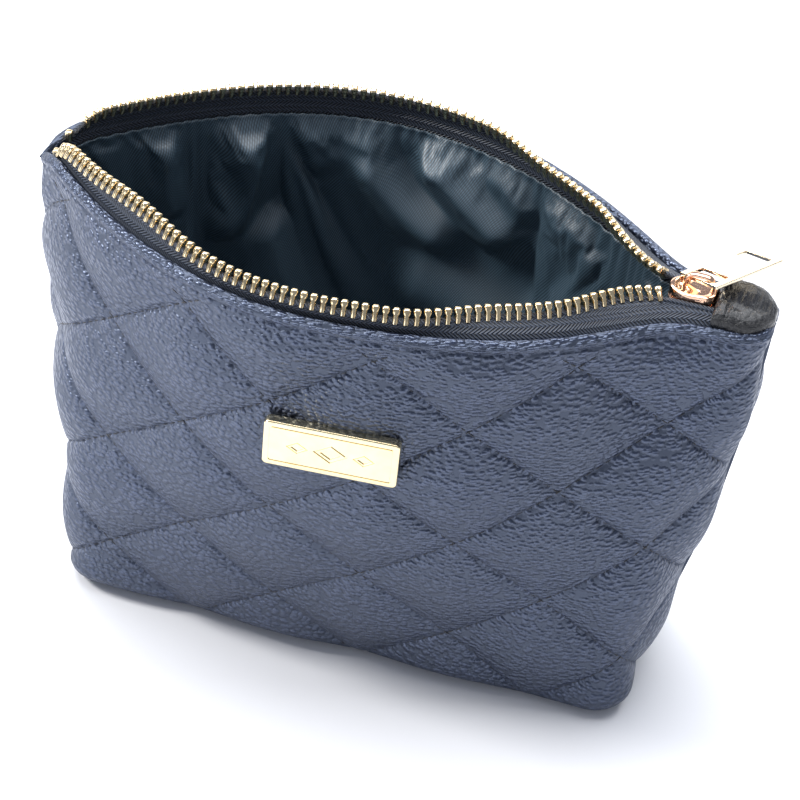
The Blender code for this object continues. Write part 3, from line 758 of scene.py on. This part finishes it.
def build_lining(prefix, side):
    """Half of the lining: down one wall from the tape and across to the middle of the base."""
    columns, wall_rows, floor_rows = 321, 151, 16
    share = np.linspace(-1, 1, columns)
    down = np.linspace(0, 1, wall_rows)
    grid_share, grid_down = np.meshgrid(share, down)
    up = mix(LINING_TOP, LINING_FLOOR, grid_down) / RIM_HEIGHT
    edge = np.clip((1 - np.abs(grid_share)) / 0.10, 0, 1)
    along, below = grid_share * WALL_HALF_ARC, grid_down * (LINING_TOP - LINING_FLOOR)
    sag = 3.0 * MM * np.sin(math.pi * grid_down) + unevenness(along, below, side + 4) * 1.6
    gathers = 0.25 * MM * (1 + np.sin(along / (0.55 * MM) + 3 * np.sin(along / (6 * MM))))
    gathers *= np.exp(-below / (3.5 * MM))
    loose = softened(fold_height(along, below, side), 10) + sag
    loose = loose * smooth(below / (5 * MM)) * smooth(edge) + gathers
    low_corner = np.clip(1 - (up * RIM_HEIGHT - LINING_FLOOR) / (10 * MM), 0, 1)
    depth = LINING_DEPTH + loose + 5 * MM * (1 - np.sqrt(1 - np.minimum(low_corner, 0.999) ** 2))
    wall, _ = wall_point(grid_share * 0.985, up, side, depth)
    seam = side_turn(grid_share)
    wall[..., 1] = mix(wall[..., 1], ZIP_Y * up + side * 0.3 * MM, seam)
    foot = wall[-1]
    middle = foot * (1.0, 0.0, 1.0)
    steps = np.linspace(0, 1, floor_rows + 1)[1:]
    rumple = 0.5 * MM * np.sin(share * 22)
    floor = []
    for step in steps:
        row = mix(foot, middle, step)
        row[:, 2] = foot[:, 2] + rumple * math.sin(math.pi * step)
        floor.append(row)
    points = np.concatenate([wall, np.stack(floor)])
    wall_v = LINING_TOP - grid_down * (LINING_TOP - LINING_FLOOR)
    floor_v = -np.outer(steps, np.full(columns, LINING_FLOOR_RUN))
    flat_v = np.concatenate([wall_v, floor_v])
    flat = np.stack([np.broadcast_to(share * WALL_HALF_ARC, flat_v.shape), flat_v, 0 * flat_v], -1)
    points = relax_cloth(points, floor_rows // 2)
    mesh = grid_mesh(prefix + "_satin", points, attributes={"cut": flat})
    made = new_object(prefix + "_satin_lining", mesh)
    mesh.materials.append(lining)
    thicken(made, 0.35 * MM)
    weights_of = np.array([vertex.co for vertex in made.data.vertices])
    names = np.zeros(len(made.data.vertices) * 3, np.float32)
    made.data.attributes["cut"].data.foreach_get("vector", names)
    shares = names.reshape(-1, 3)[:, 0] / WALL_HALF_ARC
    rising = smooth((weights_of[:, 2] - 6 * MM) / (28 * MM))
    fold_with_wall(made, side, wall_weights(shares, side, shares) * rising)
    nodes = [prefix + "_lining"] + (["base_lining"] if side < 0 else [])
    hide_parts(*nodes)
    return made


def thicken(made, thickness):
    solid = made.modifiers.new("Thickness", "SOLIDIFY")
    solid.thickness = thickness
    solid.offset = 0
    apply_modifiers(made)


def apply_modifiers(made):
    graph = bpy.context.evaluated_depsgraph_get()
    mesh = bpy.data.meshes.new_from_object(
        made.evaluated_get(graph), preserve_all_data_layers=True, depsgraph=graph
    )
    made.modifiers.clear()
    old = made.data
    made.data = mesh
    bpy.data.meshes.remove(old)
    return made


def relax_cloth(points, floor_rows):
    """Lets the lining settle as loose cloth between its sewn edges, and keeps it near where it started.

    The cloth is every second row and column of the lining; the rest is filled in from its neighbours.
    """
    coarse = points[::2, ::2]
    index = np.arange(coarse.shape[0] * coarse.shape[1]).reshape(coarse.shape[:2])
    made = bpy.data.objects.new("loose_cloth", grid_mesh("loose_cloth", coarse))
    bpy.context.scene.collection.objects.link(made)
    sewn = np.concatenate([index[0], index[-floor_rows:].ravel(), index[:, 0], index[:, -1]])
    made.vertex_groups.new(name="sewn").add(sewn.tolist(), 1.0, "REPLACE")
    cloth = made.modifiers.new("Cloth", "CLOTH")
    settings = cloth.settings
    settings.vertex_group_mass = "sewn"
    settings.quality = 5
    settings.mass = 0.15
    settings.tension_stiffness = 15
    settings.compression_stiffness = 15
    settings.shear_stiffness = 4
    settings.bending_stiffness = 0.4
    settings.shrink_min = -LINING_EASE
    settings.shrink_max = -LINING_EASE
    settings.effector_weights.gravity = 0.15
    last_frame = 18
    cloth.point_cache.frame_start, cloth.point_cache.frame_end = 1, last_frame
    scene = bpy.context.scene
    for number in range(1, last_frame + 1):
        scene.frame_set(number)
    apply_modifiers(made)
    scene.frame_set(1)
    shift = np.array([vertex.co for vertex in made.data.vertices]).reshape(coarse.shape) - coarse
    bpy.data.objects.remove(made, do_unlink=True)
    size = np.linalg.norm(shift, axis=2, keepdims=True)
    shift *= np.minimum(1, 3.5 * MM / np.maximum(size, 1e-9))
    spread = np.zeros_like(points)
    spread[::2, ::2] = shift
    spread[1::2, ::2] = (spread[:-1:2, ::2] + spread[2::2, ::2]) / 2
    spread[:, 1::2] = (spread[:, :-1:2] + spread[:, 2::2]) / 2
    return points + spread


# ---------------------------------------------------------------- zip


def inward_normal(x, side):
    """Unit vector in plan from a rim towards the inside of the mouth."""
    step = 0.5 * MM
    slope = (rim_y(x + step, side) - rim_y(x - step, side)) / (2 * step)
    normal = np.stack([side * slope, -side * np.ones_like(x), 0 * x], -1)
    return normal / np.linalg.norm(normal, axis=-1, keepdims=True)


def teeth_root(x, side):
    """Points where the teeth meet the edge of the tape, and the direction in which they stand."""
    met = smooth((x - MEETING_X) / MEETING_LENGTH)
    bump = np.exp(-(((x - BUMP_X) / BUMP_WIDTH) ** 2)) * (side < 0)
    inset = TEETH_INSET + TEETH_DRAW_IN * smooth((x - DRAW_IN_X) / DRAW_IN_LENGTH) + BUMP_INSET * bump
    droop = 5 * MM * np.clip((-86 * MM - x) / (8 * MM), 0, 1) ** 2
    rim = np.stack([x, rim_y(x, side), RIM_HEIGHT + TEETH_RISE + TEETH_RISE_BUMP * bump], -1)
    loose = rim + inset[:, None] * inward_normal(x, side)
    chain = np.stack([x, ZIP_Y * closing(x) + side * CHAIN_HALF_WIDTH, np.full_like(x, ZIP_Z)], -1)
    root = mix(loose, chain, met[:, None])
    root[:, 2] -= droop
    lean = np.radians(mix(66, 34, met))
    stand = inward_normal(x, side) * np.cos(lean)[:, None]
    stand[:, 2] = np.sin(lean)
    return root, stand


def build_tape(prefix, side):
    """The woven tape, sewn inside the rim, with a corded edge under the teeth."""
    x = np.linspace(ZIP_START_X - 2.5 * MM, SLIDER_TAIL_X + 5 * MM, 220)
    share = np.interp(x, RIM_X, RIM_SHARE[side])
    root, stand = teeth_root(x, side)
    rows, across = [], []

    def layer(z, depth):
        return wall_point(share, np.full_like(x, z / RIM_HEIGHT), side, np.full_like(x, depth))[0]

    edge = layer(RIM_HEIGHT - 1.2 * MM, 2.9 * MM)
    shoulder = mix(edge, root, 0.5)
    shoulder[:, 2] = mix(edge, root, 0.72)[:, 2]
    low = layer(RIM_HEIGHT - 10 * MM, 3.6 * MM)
    upper = layer(RIM_HEIGHT - 5 * MM, 3.4 * MM)
    control = [low, upper, edge, shoulder, root]
    steps = 40
    for step in range(steps + 1):
        place = step / steps * (len(control) - 1)
        first = min(int(place), len(control) - 2)
        a = control[max(first - 1, 0)]
        b, c = control[first], control[first + 1]
        d = control[min(first + 2, len(control) - 1)]
        f = place - first
        rows.append(
            0.5 * (2 * b + (c - a) * f + (2 * a - 5 * b + 4 * c - d) * f**2 + (3 * b - a - 3 * c + d) * f**3)
        )
    rows = np.stack(rows)
    gaps = np.linalg.norm(np.diff(rows, axis=0), axis=2)
    run = np.concatenate([np.zeros((1, len(x))), np.cumsum(gaps, axis=0)])
    along = np.concatenate([[0], np.cumsum(np.linalg.norm(np.diff(root, axis=0), axis=1))])
    flat = np.stack([np.broadcast_to(along, run.shape), run, 0 * run], -1)
    mesh = grid_mesh(prefix + "_tape", rows, attributes={"cut": flat})
    made = new_object(prefix + "_woven_tape", mesh)
    mesh.materials.append(tape)
    thicken(made, 0.5 * MM)
    count = len(made.data.vertices)
    fold_with_wall(made, side, np.resize(np.broadcast_to(fold_share(x, side), rows.shape[:2]).ravel(), count))
    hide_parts(prefix + "_tape")

    cord_rings = []
    for spoke in range(8):
        angle = 2 * math.pi * spoke / 8
        lateral = np.cross(stand, np.gradient(root, axis=0))
        lateral /= np.linalg.norm(lateral, axis=1, keepdims=True)
        cord_rings.append(root + 0.85 * MM * (math.cos(angle) * stand + math.sin(angle) * lateral))
    points = np.stack(cord_rings, 1)
    around = np.tile(np.arange(8) * 0.6 * MM, (len(x), 1))
    flat = np.stack([np.repeat(along[:, None], 8, 1), around, np.zeros((len(x), 8))], -1)
    mesh = grid_mesh(prefix + "_cord", points, wrap_columns=True, caps=True, attributes={"cut": flat})
    cord = new_object(prefix + "_tape_cord", mesh)
    mesh.materials.append(tape)
    fold_with_wall(cord, side, np.repeat(fold_share(x, side), 8))


# Rings of one tooth, root to tip: place along the tooth, width and thickness.
TOOTH_RINGS = (
    (-0.75, 1.10, 2.3),
    (-0.65, 1.34, 2.7),
    (1.30, 1.34, 2.7),
    (1.55, 1.20, 2.5),
    (1.85, 1.72, 2.3),
    (2.10, 1.90, 2.25),
    (2.75, 1.90, 2.1),
    (3.10, 1.66, 1.8),
    (3.30, 0.95, 1.0),
)


def superellipse(spokes, power=3.2):
    angle = np.linspace(0, 2 * math.pi, spokes, endpoint=False) + math.pi / spokes
    c, s = np.cos(angle), np.sin(angle)
    return np.sign(c) * np.abs(c) ** (2 / power), np.sign(s) * np.abs(s) ** (2 / power)


def build_teeth(prefix, side):
    """The row of metal teeth, each a clamped leg with a rounded head."""
    dense = np.linspace(ZIP_START_X - 1 * MM, SLIDER_NOSE_X - 0.4 * MM, 900)
    path, _ = teeth_root(dense, side)
    length = np.concatenate([[0], np.cumsum(np.linalg.norm(np.diff(path, axis=0), axis=1))])
    offset = 0.5 if side > 0 else 0.0
    middles = np.arange(length[-1] - offset * TOOTH_PITCH, 0.6 * TOOTH_PITCH, -TOOTH_PITCH)
    x = np.interp(middles, length, dense)
    root, stand = teeth_root(x, side)
    ahead, _ = teeth_root(x + 0.3 * MM, side)
    along = ahead - root
    along -= (along * stand).sum(1, keepdims=True) * stand
    along /= np.linalg.norm(along, axis=1, keepdims=True)
    thick = np.cross(along, stand)
    spokes = 12
    shape_a, shape_c = superellipse(spokes)
    points, faces = [], []
    rings = len(TOOTH_RINGS)
    for tooth in range(len(x)):
        first = len(points)
        lean = noise.noise(Vector((tooth * 1.7, side * 5, 0))) * 0.05
        forward = (along[tooth] + lean * thick[tooth]) * MM
        for place, wide, deep in TOOTH_RINGS:
            centre = root[tooth] + stand[tooth] * place * MM
            for a, c in zip(shape_a, shape_c):
                points.append(centre + forward * (a * wide / 2) + thick[tooth] * (c * deep / 2 * MM))
        for ring in range(rings - 1):
            for spoke in range(spokes):
                a, b = first + ring * spokes + spoke, first + ring * spokes + (spoke + 1) % spokes
                faces.append((a, b, b + spokes, a + spokes))
        faces.append([first + spoke for spoke in range(spokes)][::-1])
        faces.append([first + (rings - 1) * spokes + spoke for spoke in range(spokes)])
    mesh = bpy.data.meshes.new(prefix + "_teeth")
    mesh.from_pydata([tuple(point) for point in points], [], faces)
    face_out(mesh)
    made = new_object(prefix + "_metal_teeth", mesh, 50)
    mesh.materials.append(teeth_gold)
    fold_with_wall(made, side, np.repeat(fold_share(x, side), rings * spokes))
    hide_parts(prefix + "_teeth")


def build_top_stop(prefix, side):
    """The small clamped block at the left end of a row."""
    low, high = (np.array(corner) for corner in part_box(prefix + "_top_stop"))
    made = rounded_box(prefix + "_end_block", high - low, 0.45 * MM, teeth_gold)
    made.location = (low + high) / 2
    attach(made, "root")
    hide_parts(prefix + "_top_stop")


def rounded_box(name, size, radius, surface, segments=3):
    made = bmesh.new()
    bmesh.ops.create_cube(made, size=1.0, matrix=Matrix.Diagonal((*size, 1.0)))
    bmesh.ops.bevel(made, geom=made.edges[:], offset=radius, segments=segments, affect="EDGES", profile=0.5)
    mesh = bpy.data.meshes.new(name)
    made.to_mesh(mesh)
    made.free()
    mesh.materials.append(surface)
    return new_object(name, mesh, 40)


def slider_outline(steps=72):
    """Plan of the slider, centred: a round nose at -X and a flat tail with round corners."""
    angle = np.linspace(0, 2 * math.pi, steps, endpoint=False)
    c, s = np.cos(angle), np.sin(angle)
    power = np.where(c < 0, 2.15, 4.5)
    x = np.sign(c) * np.abs(c) ** (2 / power)
    y = np.sign(s) * np.abs(s) ** (2 / power)
    half_length, half_width = (SLIDER_TAIL_X - SLIDER_NOSE_X) / 2, SLIDER_WIDTH / 2
    taper = mix(1.0, 0.86, smooth((x + 0.2) / 1.2))
    return np.stack([x * half_length, y * half_width * taper], 1)


def slider_plate(name, levels, centre):
    """A plate of the slider: its outline at each (share of the plan, height)."""
    plan = slider_outline()
    rings = []
    for share, z in levels:
        rings.append(np.concatenate([plan * share, np.full((len(plan), 1), z * MM)], 1) + centre)
    mesh = grid_mesh(name, np.stack(rings), wrap_columns=True, caps=True)
    mesh.materials.append(rose_gold)
    return new_object(name, mesh, 35)


def build_slider():
    """Upper plate with a raised border and a dished middle, lower plate, post, side lips and bridge."""
    centre = np.array([(SLIDER_NOSE_X + SLIDER_TAIL_X) / 2, ZIP_Y, ZIP_Z])
    upper = slider_plate(
        "slider_upper",
        ((0.88, 1.25), (0.91, 0.55), (0.96, 0.45), (1.0, 0.7), (1.0, 2.1),
         (0.97, 2.45), (0.90, 2.62), (0.82, 2.62), (0.77, 2.50),
         (0.73, 2.28), (0.60, 2.16), (0.30, 2.32), (0.06, 2.38)),
        centre,
    )
    lower = slider_plate(
        "slider_lower",
        ((0.06, -2.5), (0.6, -2.5), (0.93, -2.42), (1.0, -2.15),
         (1.0, -0.7), (0.96, -0.45), (0.91, -0.55), (0.88, -1.25)),
        centre,
    )
    pieces = [upper, lower]
    post = rounded_box("slider_post", (2.2 * MM, 1.5 * MM, 3.0 * MM), 0.3 * MM, rose_gold)
    post.location = centre + ((SLIDER_NOSE_X - centre[0]) + 2.2 * MM, 0, 0)
    pieces.append(post)
    for side in (-1, 1):
        for up in (-1, 1):
            lip = rounded_box(
                f"slider_lip_{side}_{up}".replace("-", "m"),
                (6 * MM, 0.75 * MM, 1.1 * MM),
                0.25 * MM,
                rose_gold,
            )
            lip.location = centre + (0.6 * MM, side * (SLIDER_WIDTH / 2 - 0.55 * MM), up * 1.1 * MM)
            pieces.append(lip)
    for piece in pieces:
        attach(piece, "slider")
    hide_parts("slider_body")

    low, high = (np.array(corner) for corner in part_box("slider_bridge"))
    middle_x, top = (low[0] + high[0]) / 2, high[2]
    foot = centre[2] + 2.2 * MM
    half = (high[0] - low[0]) / 2 - 0.5 * MM
    path = []
    for turn in np.linspace(0, math.pi, 33):
        c, s = math.cos(turn), math.sin(turn)
        path_x = middle_x - half * np.sign(c) * abs(c) ** 0.55
        path_z = foot + (top - 0.5 * MM - foot) * abs(s) ** 0.5
        path.append((path_x, path_z))
    path = np.array(path)
    tangent = np.gradient(path, axis=0)
    tangent /= np.linalg.norm(tangent, axis=1, keepdims=True)
    normal = np.stack([-tangent[:, 1], tangent[:, 0]], 1)
    shape_a, shape_c = superellipse(16, 3.0)
    rings = []
    for (x, z), (nx, nz) in zip(path, normal):
        rings.append(
            [
                (x + nx * a * 0.5 * MM, ZIP_Y + c * 0.95 * MM, z + nz * a * 0.5 * MM)
                for a, c in zip(shape_a, shape_c)
            ]
        )
    mesh = grid_mesh("bridge", np.array(rings), wrap_columns=True, caps=True)
    mesh.materials.append(rose_gold)
    bridge = new_object("slider_bridge_loop", mesh, 50)
    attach(bridge, "slider")
    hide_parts("slider_bridge")


PULL_LENGTH = 24.5 * MM
PULL_WIDTH = 12.5 * MM
PULL_BAR = 0.6 * MM
PULL_WINDOW = (5.8 * MM, 8.5 * MM)  # where it ends along the pull, and its width
PULL_SLOT = (17.9 * MM, 21.7 * MM, 8.2 * MM)  # where it starts and ends, and its width
PULL_THICKNESS = 1.0 * MM
PULL_YAW = math.radians(56.6)
PULL_RAISE = math.radians(-4.7)
PULL_ROLL = math.radians(-14)


def bevelled_outline(name, loops, thickness, bevel, surface):
    """Flat outlines in XY, extruded by the thickness about z = 0, with rounded edges."""
    curve = bpy.data.curves.new(name, "CURVE")
    curve.dimensions = "2D"
    curve.fill_mode = "BOTH"
    curve.extrude = thickness / 2 - bevel
    curve.bevel_depth = bevel
    curve.bevel_resolution = 3
    curve.offset = -bevel
    for loop in loops:
        spline = curve.splines.new("POLY")
        spline.points.add(len(loop) - 1)
        for point, (x, y) in zip(spline.points, loop):
            point.co = (x, y, 0, 1)
        spline.use_cyclic_u = True
    drawn = bpy.data.objects.new(name + "_outline", curve)
    bpy.context.scene.collection.objects.link(drawn)
    bpy.context.view_layer.update()
    mesh = bpy.data.meshes.new_from_object(drawn.evaluated_get(bpy.context.evaluated_depsgraph_get()))
    bpy.data.objects.remove(drawn, do_unlink=True)
    welded = bmesh.new()
    welded.from_mesh(mesh)
    bmesh.ops.remove_doubles(welded, verts=welded.verts[:], dist=1e-6)
    bmesh.ops.recalc_face_normals(welded, faces=welded.faces[:])
    welded.to_mesh(mesh)
    welded.free()
    mesh.materials.clear()
    mesh.materials.append(surface)
    return new_object(name, mesh, 35)


def rounded_rectangle(left, right, low, high, radius, steps=5):
    points = []
    for x, y, start in ((right, high, 0), (left, high, 90), (left, low, 180), (right, low, 270)):
        centre_x = x - radius if x == right else x + radius
        centre_y = y - radius if y == high else y + radius
        for step in range(steps + 1):
            angle = math.radians(start + 90 * step / steps)
            points.append((centre_x + radius * math.cos(angle), centre_y + radius * math.sin(angle)))
    return points


def build_pull():
    """The flat pull: a long window that the bridge passes through, and a slot near the far end."""
    joint = next(joint for joint in frame["joints"] if joint["name"] == "pull_flip")
    half, window, slot = PULL_WIDTH / 2, PULL_WINDOW[1] / 2, PULL_SLOT[2] / 2
    loops = [
        rounded_rectangle(-PULL_BAR, PULL_LENGTH - PULL_BAR, -half, half, 0.5 * MM),
        rounded_rectangle(PULL_BAR, PULL_WINDOW[0], -window, window, 0.4 * MM)[::-1],
        rounded_rectangle(PULL_SLOT[0], PULL_SLOT[1], -slot, slot, 0.3 * MM)[::-1],
    ]
    pull = bevelled_outline("zip_pull", loops, PULL_THICKNESS, 0.18 * MM, pull_gold)
    turn = Matrix.Rotation(PULL_YAW, 4, "Z") @ Matrix.Rotation(-PULL_RAISE, 4, "Y")
    turn = turn @ Matrix.Rotation(PULL_ROLL, 4, "X")
    pull.matrix_world = Matrix.Translation(Vector(joint["pos_m"])) @ turn
    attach(pull, "pull")
    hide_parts("pull")


def build_tab():
    """The glossy leather wrap over the closed end: a soft block, rounded at the right end."""
    stations, spokes = 70, 96
    left, right = SLIDER_TAIL_X + 0.2 * MM, RIM_HALF_LENGTH - 0.4 * MM
    angle = np.linspace(0, 2 * math.pi, spokes, endpoint=False)
    c, s = np.cos(angle), np.sin(angle)
    wide = np.sign(c) * np.abs(c) ** (2 / 5.0)
    tall = np.sign(s) * np.abs(s) ** (2 / 3.2)
    rings, flats = [], []
    for station in range(stations):
        t = station / (stations - 1)
        x = mix(left, right, t)
        near_left = math.sqrt(max(0.0, 1 - (1 - min(1, (x - left) / (1.6 * MM))) ** 2))
        near_right = math.sqrt(max(0.0, 1 - max(0, 1 - (right - x) / (6.5 * MM)) ** 2))
        half_width = (float(rim_distance(np.array(x), -1)) - 1.2 * MM) * (0.55 + 0.45 * near_right)
        half_height = 3.0 * MM * (0.35 + 0.65 * near_left) * (0.25 + 0.75 * near_right)
        centre_z = ZIP_Z - 0.2 * MM - 1.2 * MM * t**2
        shrink = 0.02 + 0.98 * min(1.0, near_left * 8) if t == 0 else 1.0
        y = ZIP_Y + wide * half_width * shrink
        z = centre_z + tall * half_height * shrink
        fold = 0.45 * MM * math.exp(-(((x - left - 3.6 * MM) / (0.5 * MM)) ** 2))
        z -= fold * np.clip(tall, 0, 1)
        rings.append(np.stack([np.full_like(y, x), y, z], 1))
        flats.append(np.stack([np.full_like(y, x), np.unwrap(angle) * 5 * MM, 0 * y], 1))
    points, flat = np.stack(rings), np.stack(flats)
    for row in points[1:-1]:
        for point in row:
            place = Vector(point * 210)
            ridge = 1 - abs(noise.noise(place + Vector((3, 1, 8)))) * 2.4
            soft = noise.noise(Vector(point * 120))
            point[2] += (0.22 * ridge + 0.35 * soft) * MM
            point[1] += 0.2 * soft * MM
    mesh = grid_mesh("tab", points, wrap_columns=True, caps=True, attributes={"cut": flat})
    mesh.materials.append(tab_leather)
    made = new_object("zip_end_wrap", mesh)
    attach(made, "root")
    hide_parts("end_tab")


# ---------------------------------------------------------------- nameplate


def build_nameplate():
    """A thick plate with rounded edges and a plain engraved border with three lozenges."""
    size = (34.5 * MM, 14.5 * MM, 3.0 * MM)
    plate_frame = nameplate_frame()
    half_x, half_y = size[0] / 2, size[1] / 2
    plate = bevelled_outline(
        "nameplate_face", [rounded_rectangle(-half_x, half_x, -half_y, half_y, 1.3 * MM)], size[2], 0.45 * MM,
        plate_gold,
    )
    cutters = []
    border = 1.5 * MM
    outer = rounded_rectangle(-half_x + border, half_x - border, -half_y + border, half_y - border, 0.6 * MM)
    line = border + 0.35 * MM
    inner = rounded_rectangle(-half_x + line, half_x - line, -half_y + line, half_y - line, 0.4 * MM)[::-1]
    loops = [[outer, inner]]
    for place, reach in ((-8.5 * MM, 1.9 * MM), (0.0, 3.0 * MM), (8.5 * MM, 1.9 * MM)):
        for scale_out, scale_in in ((1.0, 0.84), (0.6, 0.0)):
            pair = []
            for scale in (scale_out, scale_in):
                if scale:
                    across, rise = 1.5 * reach * scale, reach * scale
                    diamond = [(place + across, 0), (place, rise), (place - across, 0), (place, -rise)]
                    pair.append(diamond if not pair else diamond[::-1])
            loops.append(pair)
    for number, pair in enumerate(loops):
        cutter = bevelled_outline(f"engraving_{number}", pair, 0.5 * MM, 0.0, plate_gold)
        cutter.location.z = size[2] / 2
        cutters.append(cutter)
    for cutter in cutters:
        boolean = plate.modifiers.new(cutter.name, "BOOLEAN")
        boolean.operation = "DIFFERENCE"
        boolean.object = cutter
    bpy.context.view_layer.update()
    apply_modifiers(plate)
    for cutter in cutters:
        bpy.data.objects.remove(cutter, do_unlink=True)
    plate.data.shade_smooth()
    plate.data.set_sharp_from_angle(angle=math.radians(30))
    plate.matrix_world = plate_frame @ Matrix.Translation((0, 0, size[2] / 2))
    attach(plate, "front_wall")
    for side in (-1, 1):
        prong = rounded_box(
            f"nameplate_prong_{'left' if side < 0 else 'right'}",
            (2.4 * MM, 0.7 * MM, 4.0 * MM),
            0.15 * MM,
            plate_gold,
        )
        prong.matrix_world = plate_frame @ Matrix.Translation((side * 8 * MM, 0, -1.6 * MM))
        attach(prong, "front_wall")
    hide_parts("nameplate")


def nameplate_frame():
    """The plate's frame on the front wall: X along it, Y up it and Z out of it, at the plate's back."""
    share, up = np.array([-0.006]), np.array([0.70])
    along = Vector((wall_face(share + 0.05, up, -1) - wall_face(share - 0.05, up, -1))[0]).normalized()
    rise = Vector((wall_face(share, up + 0.03, -1) - wall_face(share, up - 0.03, -1))[0])
    out = along.cross(rise).normalized()
    rise = out.cross(along).normalized()
    turn = Matrix((along, rise, out)).transposed().to_4x4()
    return Matrix.Translation(Vector(wall_face(share, up, -1)[0]) + out * 0.3 * MM) @ turn


def finish_kept_nodes():
    """Gives the CAD pieces that stay, which are hidden inside, their finished materials."""
    for name, surface in (
        ("left_side_seam", leather),
        ("right_side_seam", leather),
        ("bottom_stop", teeth_gold),
        ("nameplate_washer", steel),
    ):
        node = frame["nodes"][name]
        for slot in node.material_slots:
            slot.material = surface


# ---------------------------------------------------------------- stage


def build_stage():
    mesh = bpy.data.meshes.new("floor")
    reach = 6.0
    corners = [(-reach, -reach, 0), (reach, -reach, 0), (reach, reach, 0), (-reach, reach, 0)]
    mesh.from_pydata(corners, [], [(0, 1, 2, 3)])
    floor = bpy.data.objects.new("floor", mesh)
    bpy.context.scene.collection.objects.link(floor)
    made = Shader("pale_floor", (0.93, 0.93, 0.95), 0.6)
    mesh.materials.append(made.material)

    world = bpy.data.worlds.new("studio")
    bpy.context.scene.world = world
    world.use_nodes = True
    background = world.node_tree.nodes["Background"]
    background.inputs["Color"].default_value = (0.80, 0.86, 1.0, 1)
    background.inputs["Strength"].default_value = 0.34

    def area(name, place, target, size, power, colour):
        light = bpy.data.lights.new(name, "AREA")
        light.shape = "RECTANGLE"
        light.size, light.size_y = size
        light.energy = power
        light.color = colour
        lamp = bpy.data.objects.new(name, light)
        bpy.context.scene.collection.objects.link(lamp)
        lamp.location = place
        aim = Vector(target) - Vector(place)
        lamp.rotation_euler = aim.to_track_quat("-Z", "Y").to_euler()

    area("key", (-1.1, -0.15, 0.95), (0, 0, 0.05), (0.35, 0.35), 17, (1.0, 0.99, 0.97))
    area("overhead", (-0.1, 0.5, 1.5), (0, 0, 0), (1.9, 1.5), 44, (0.95, 0.97, 1.0))
    area("front", (-0.9, -1.3, 0.32), (0, 0, 0.05), (1.0, 0.5), 4, (0.90, 0.93, 1.0))
    area("back", (-0.5, 1.9, 0.55), (0, 0, 0.1), (2.4, 0.9), 12, (1.0, 1.0, 1.0))


# The photograph's camera, as fitted: millimetres of lens and sensor, metres of place.
SENSOR_WIDTH = 36
LENS = 140.1
CAMERA_PLACE = Vector((0.12973, -0.62573, 0.58567))


def build_camera():
    """The camera of the photograph's view: a long lens from the front, above and to the right."""
    right = Vector((0.9589, 0.2686, 0.0917))
    up = Vector((-0.2391, 0.5903, 0.7709))
    forward = Vector((-0.1529, 0.7612, -0.6303))
    camera = bpy.data.cameras.new("camera")
    camera.sensor_width = SENSOR_WIDTH
    camera.lens = LENS
    camera.clip_start = 0.01
    holder = bpy.data.objects.new("camera", camera)
    bpy.context.scene.collection.objects.link(holder)
    turn = Matrix((right, up, -forward)).transposed().to_4x4()
    holder.matrix_world = Matrix.Translation(CAMERA_PLACE) @ turn
    bpy.context.scene.camera = holder


build_camera()
build_stage()
for prefix, side in (("front", -1), ("back", 1)):
    build_wall(prefix, side)
    build_stitches(prefix, side)
    build_lining(prefix, side)
    build_tape(prefix, side)
    build_teeth(prefix, side)
    build_top_stop(prefix, side)
build_base()
build_slider()
build_pull()
build_tab()
build_nameplate()
finish_kept_nodes()

bpy.context.scene.view_settings.view_transform = "Standard"
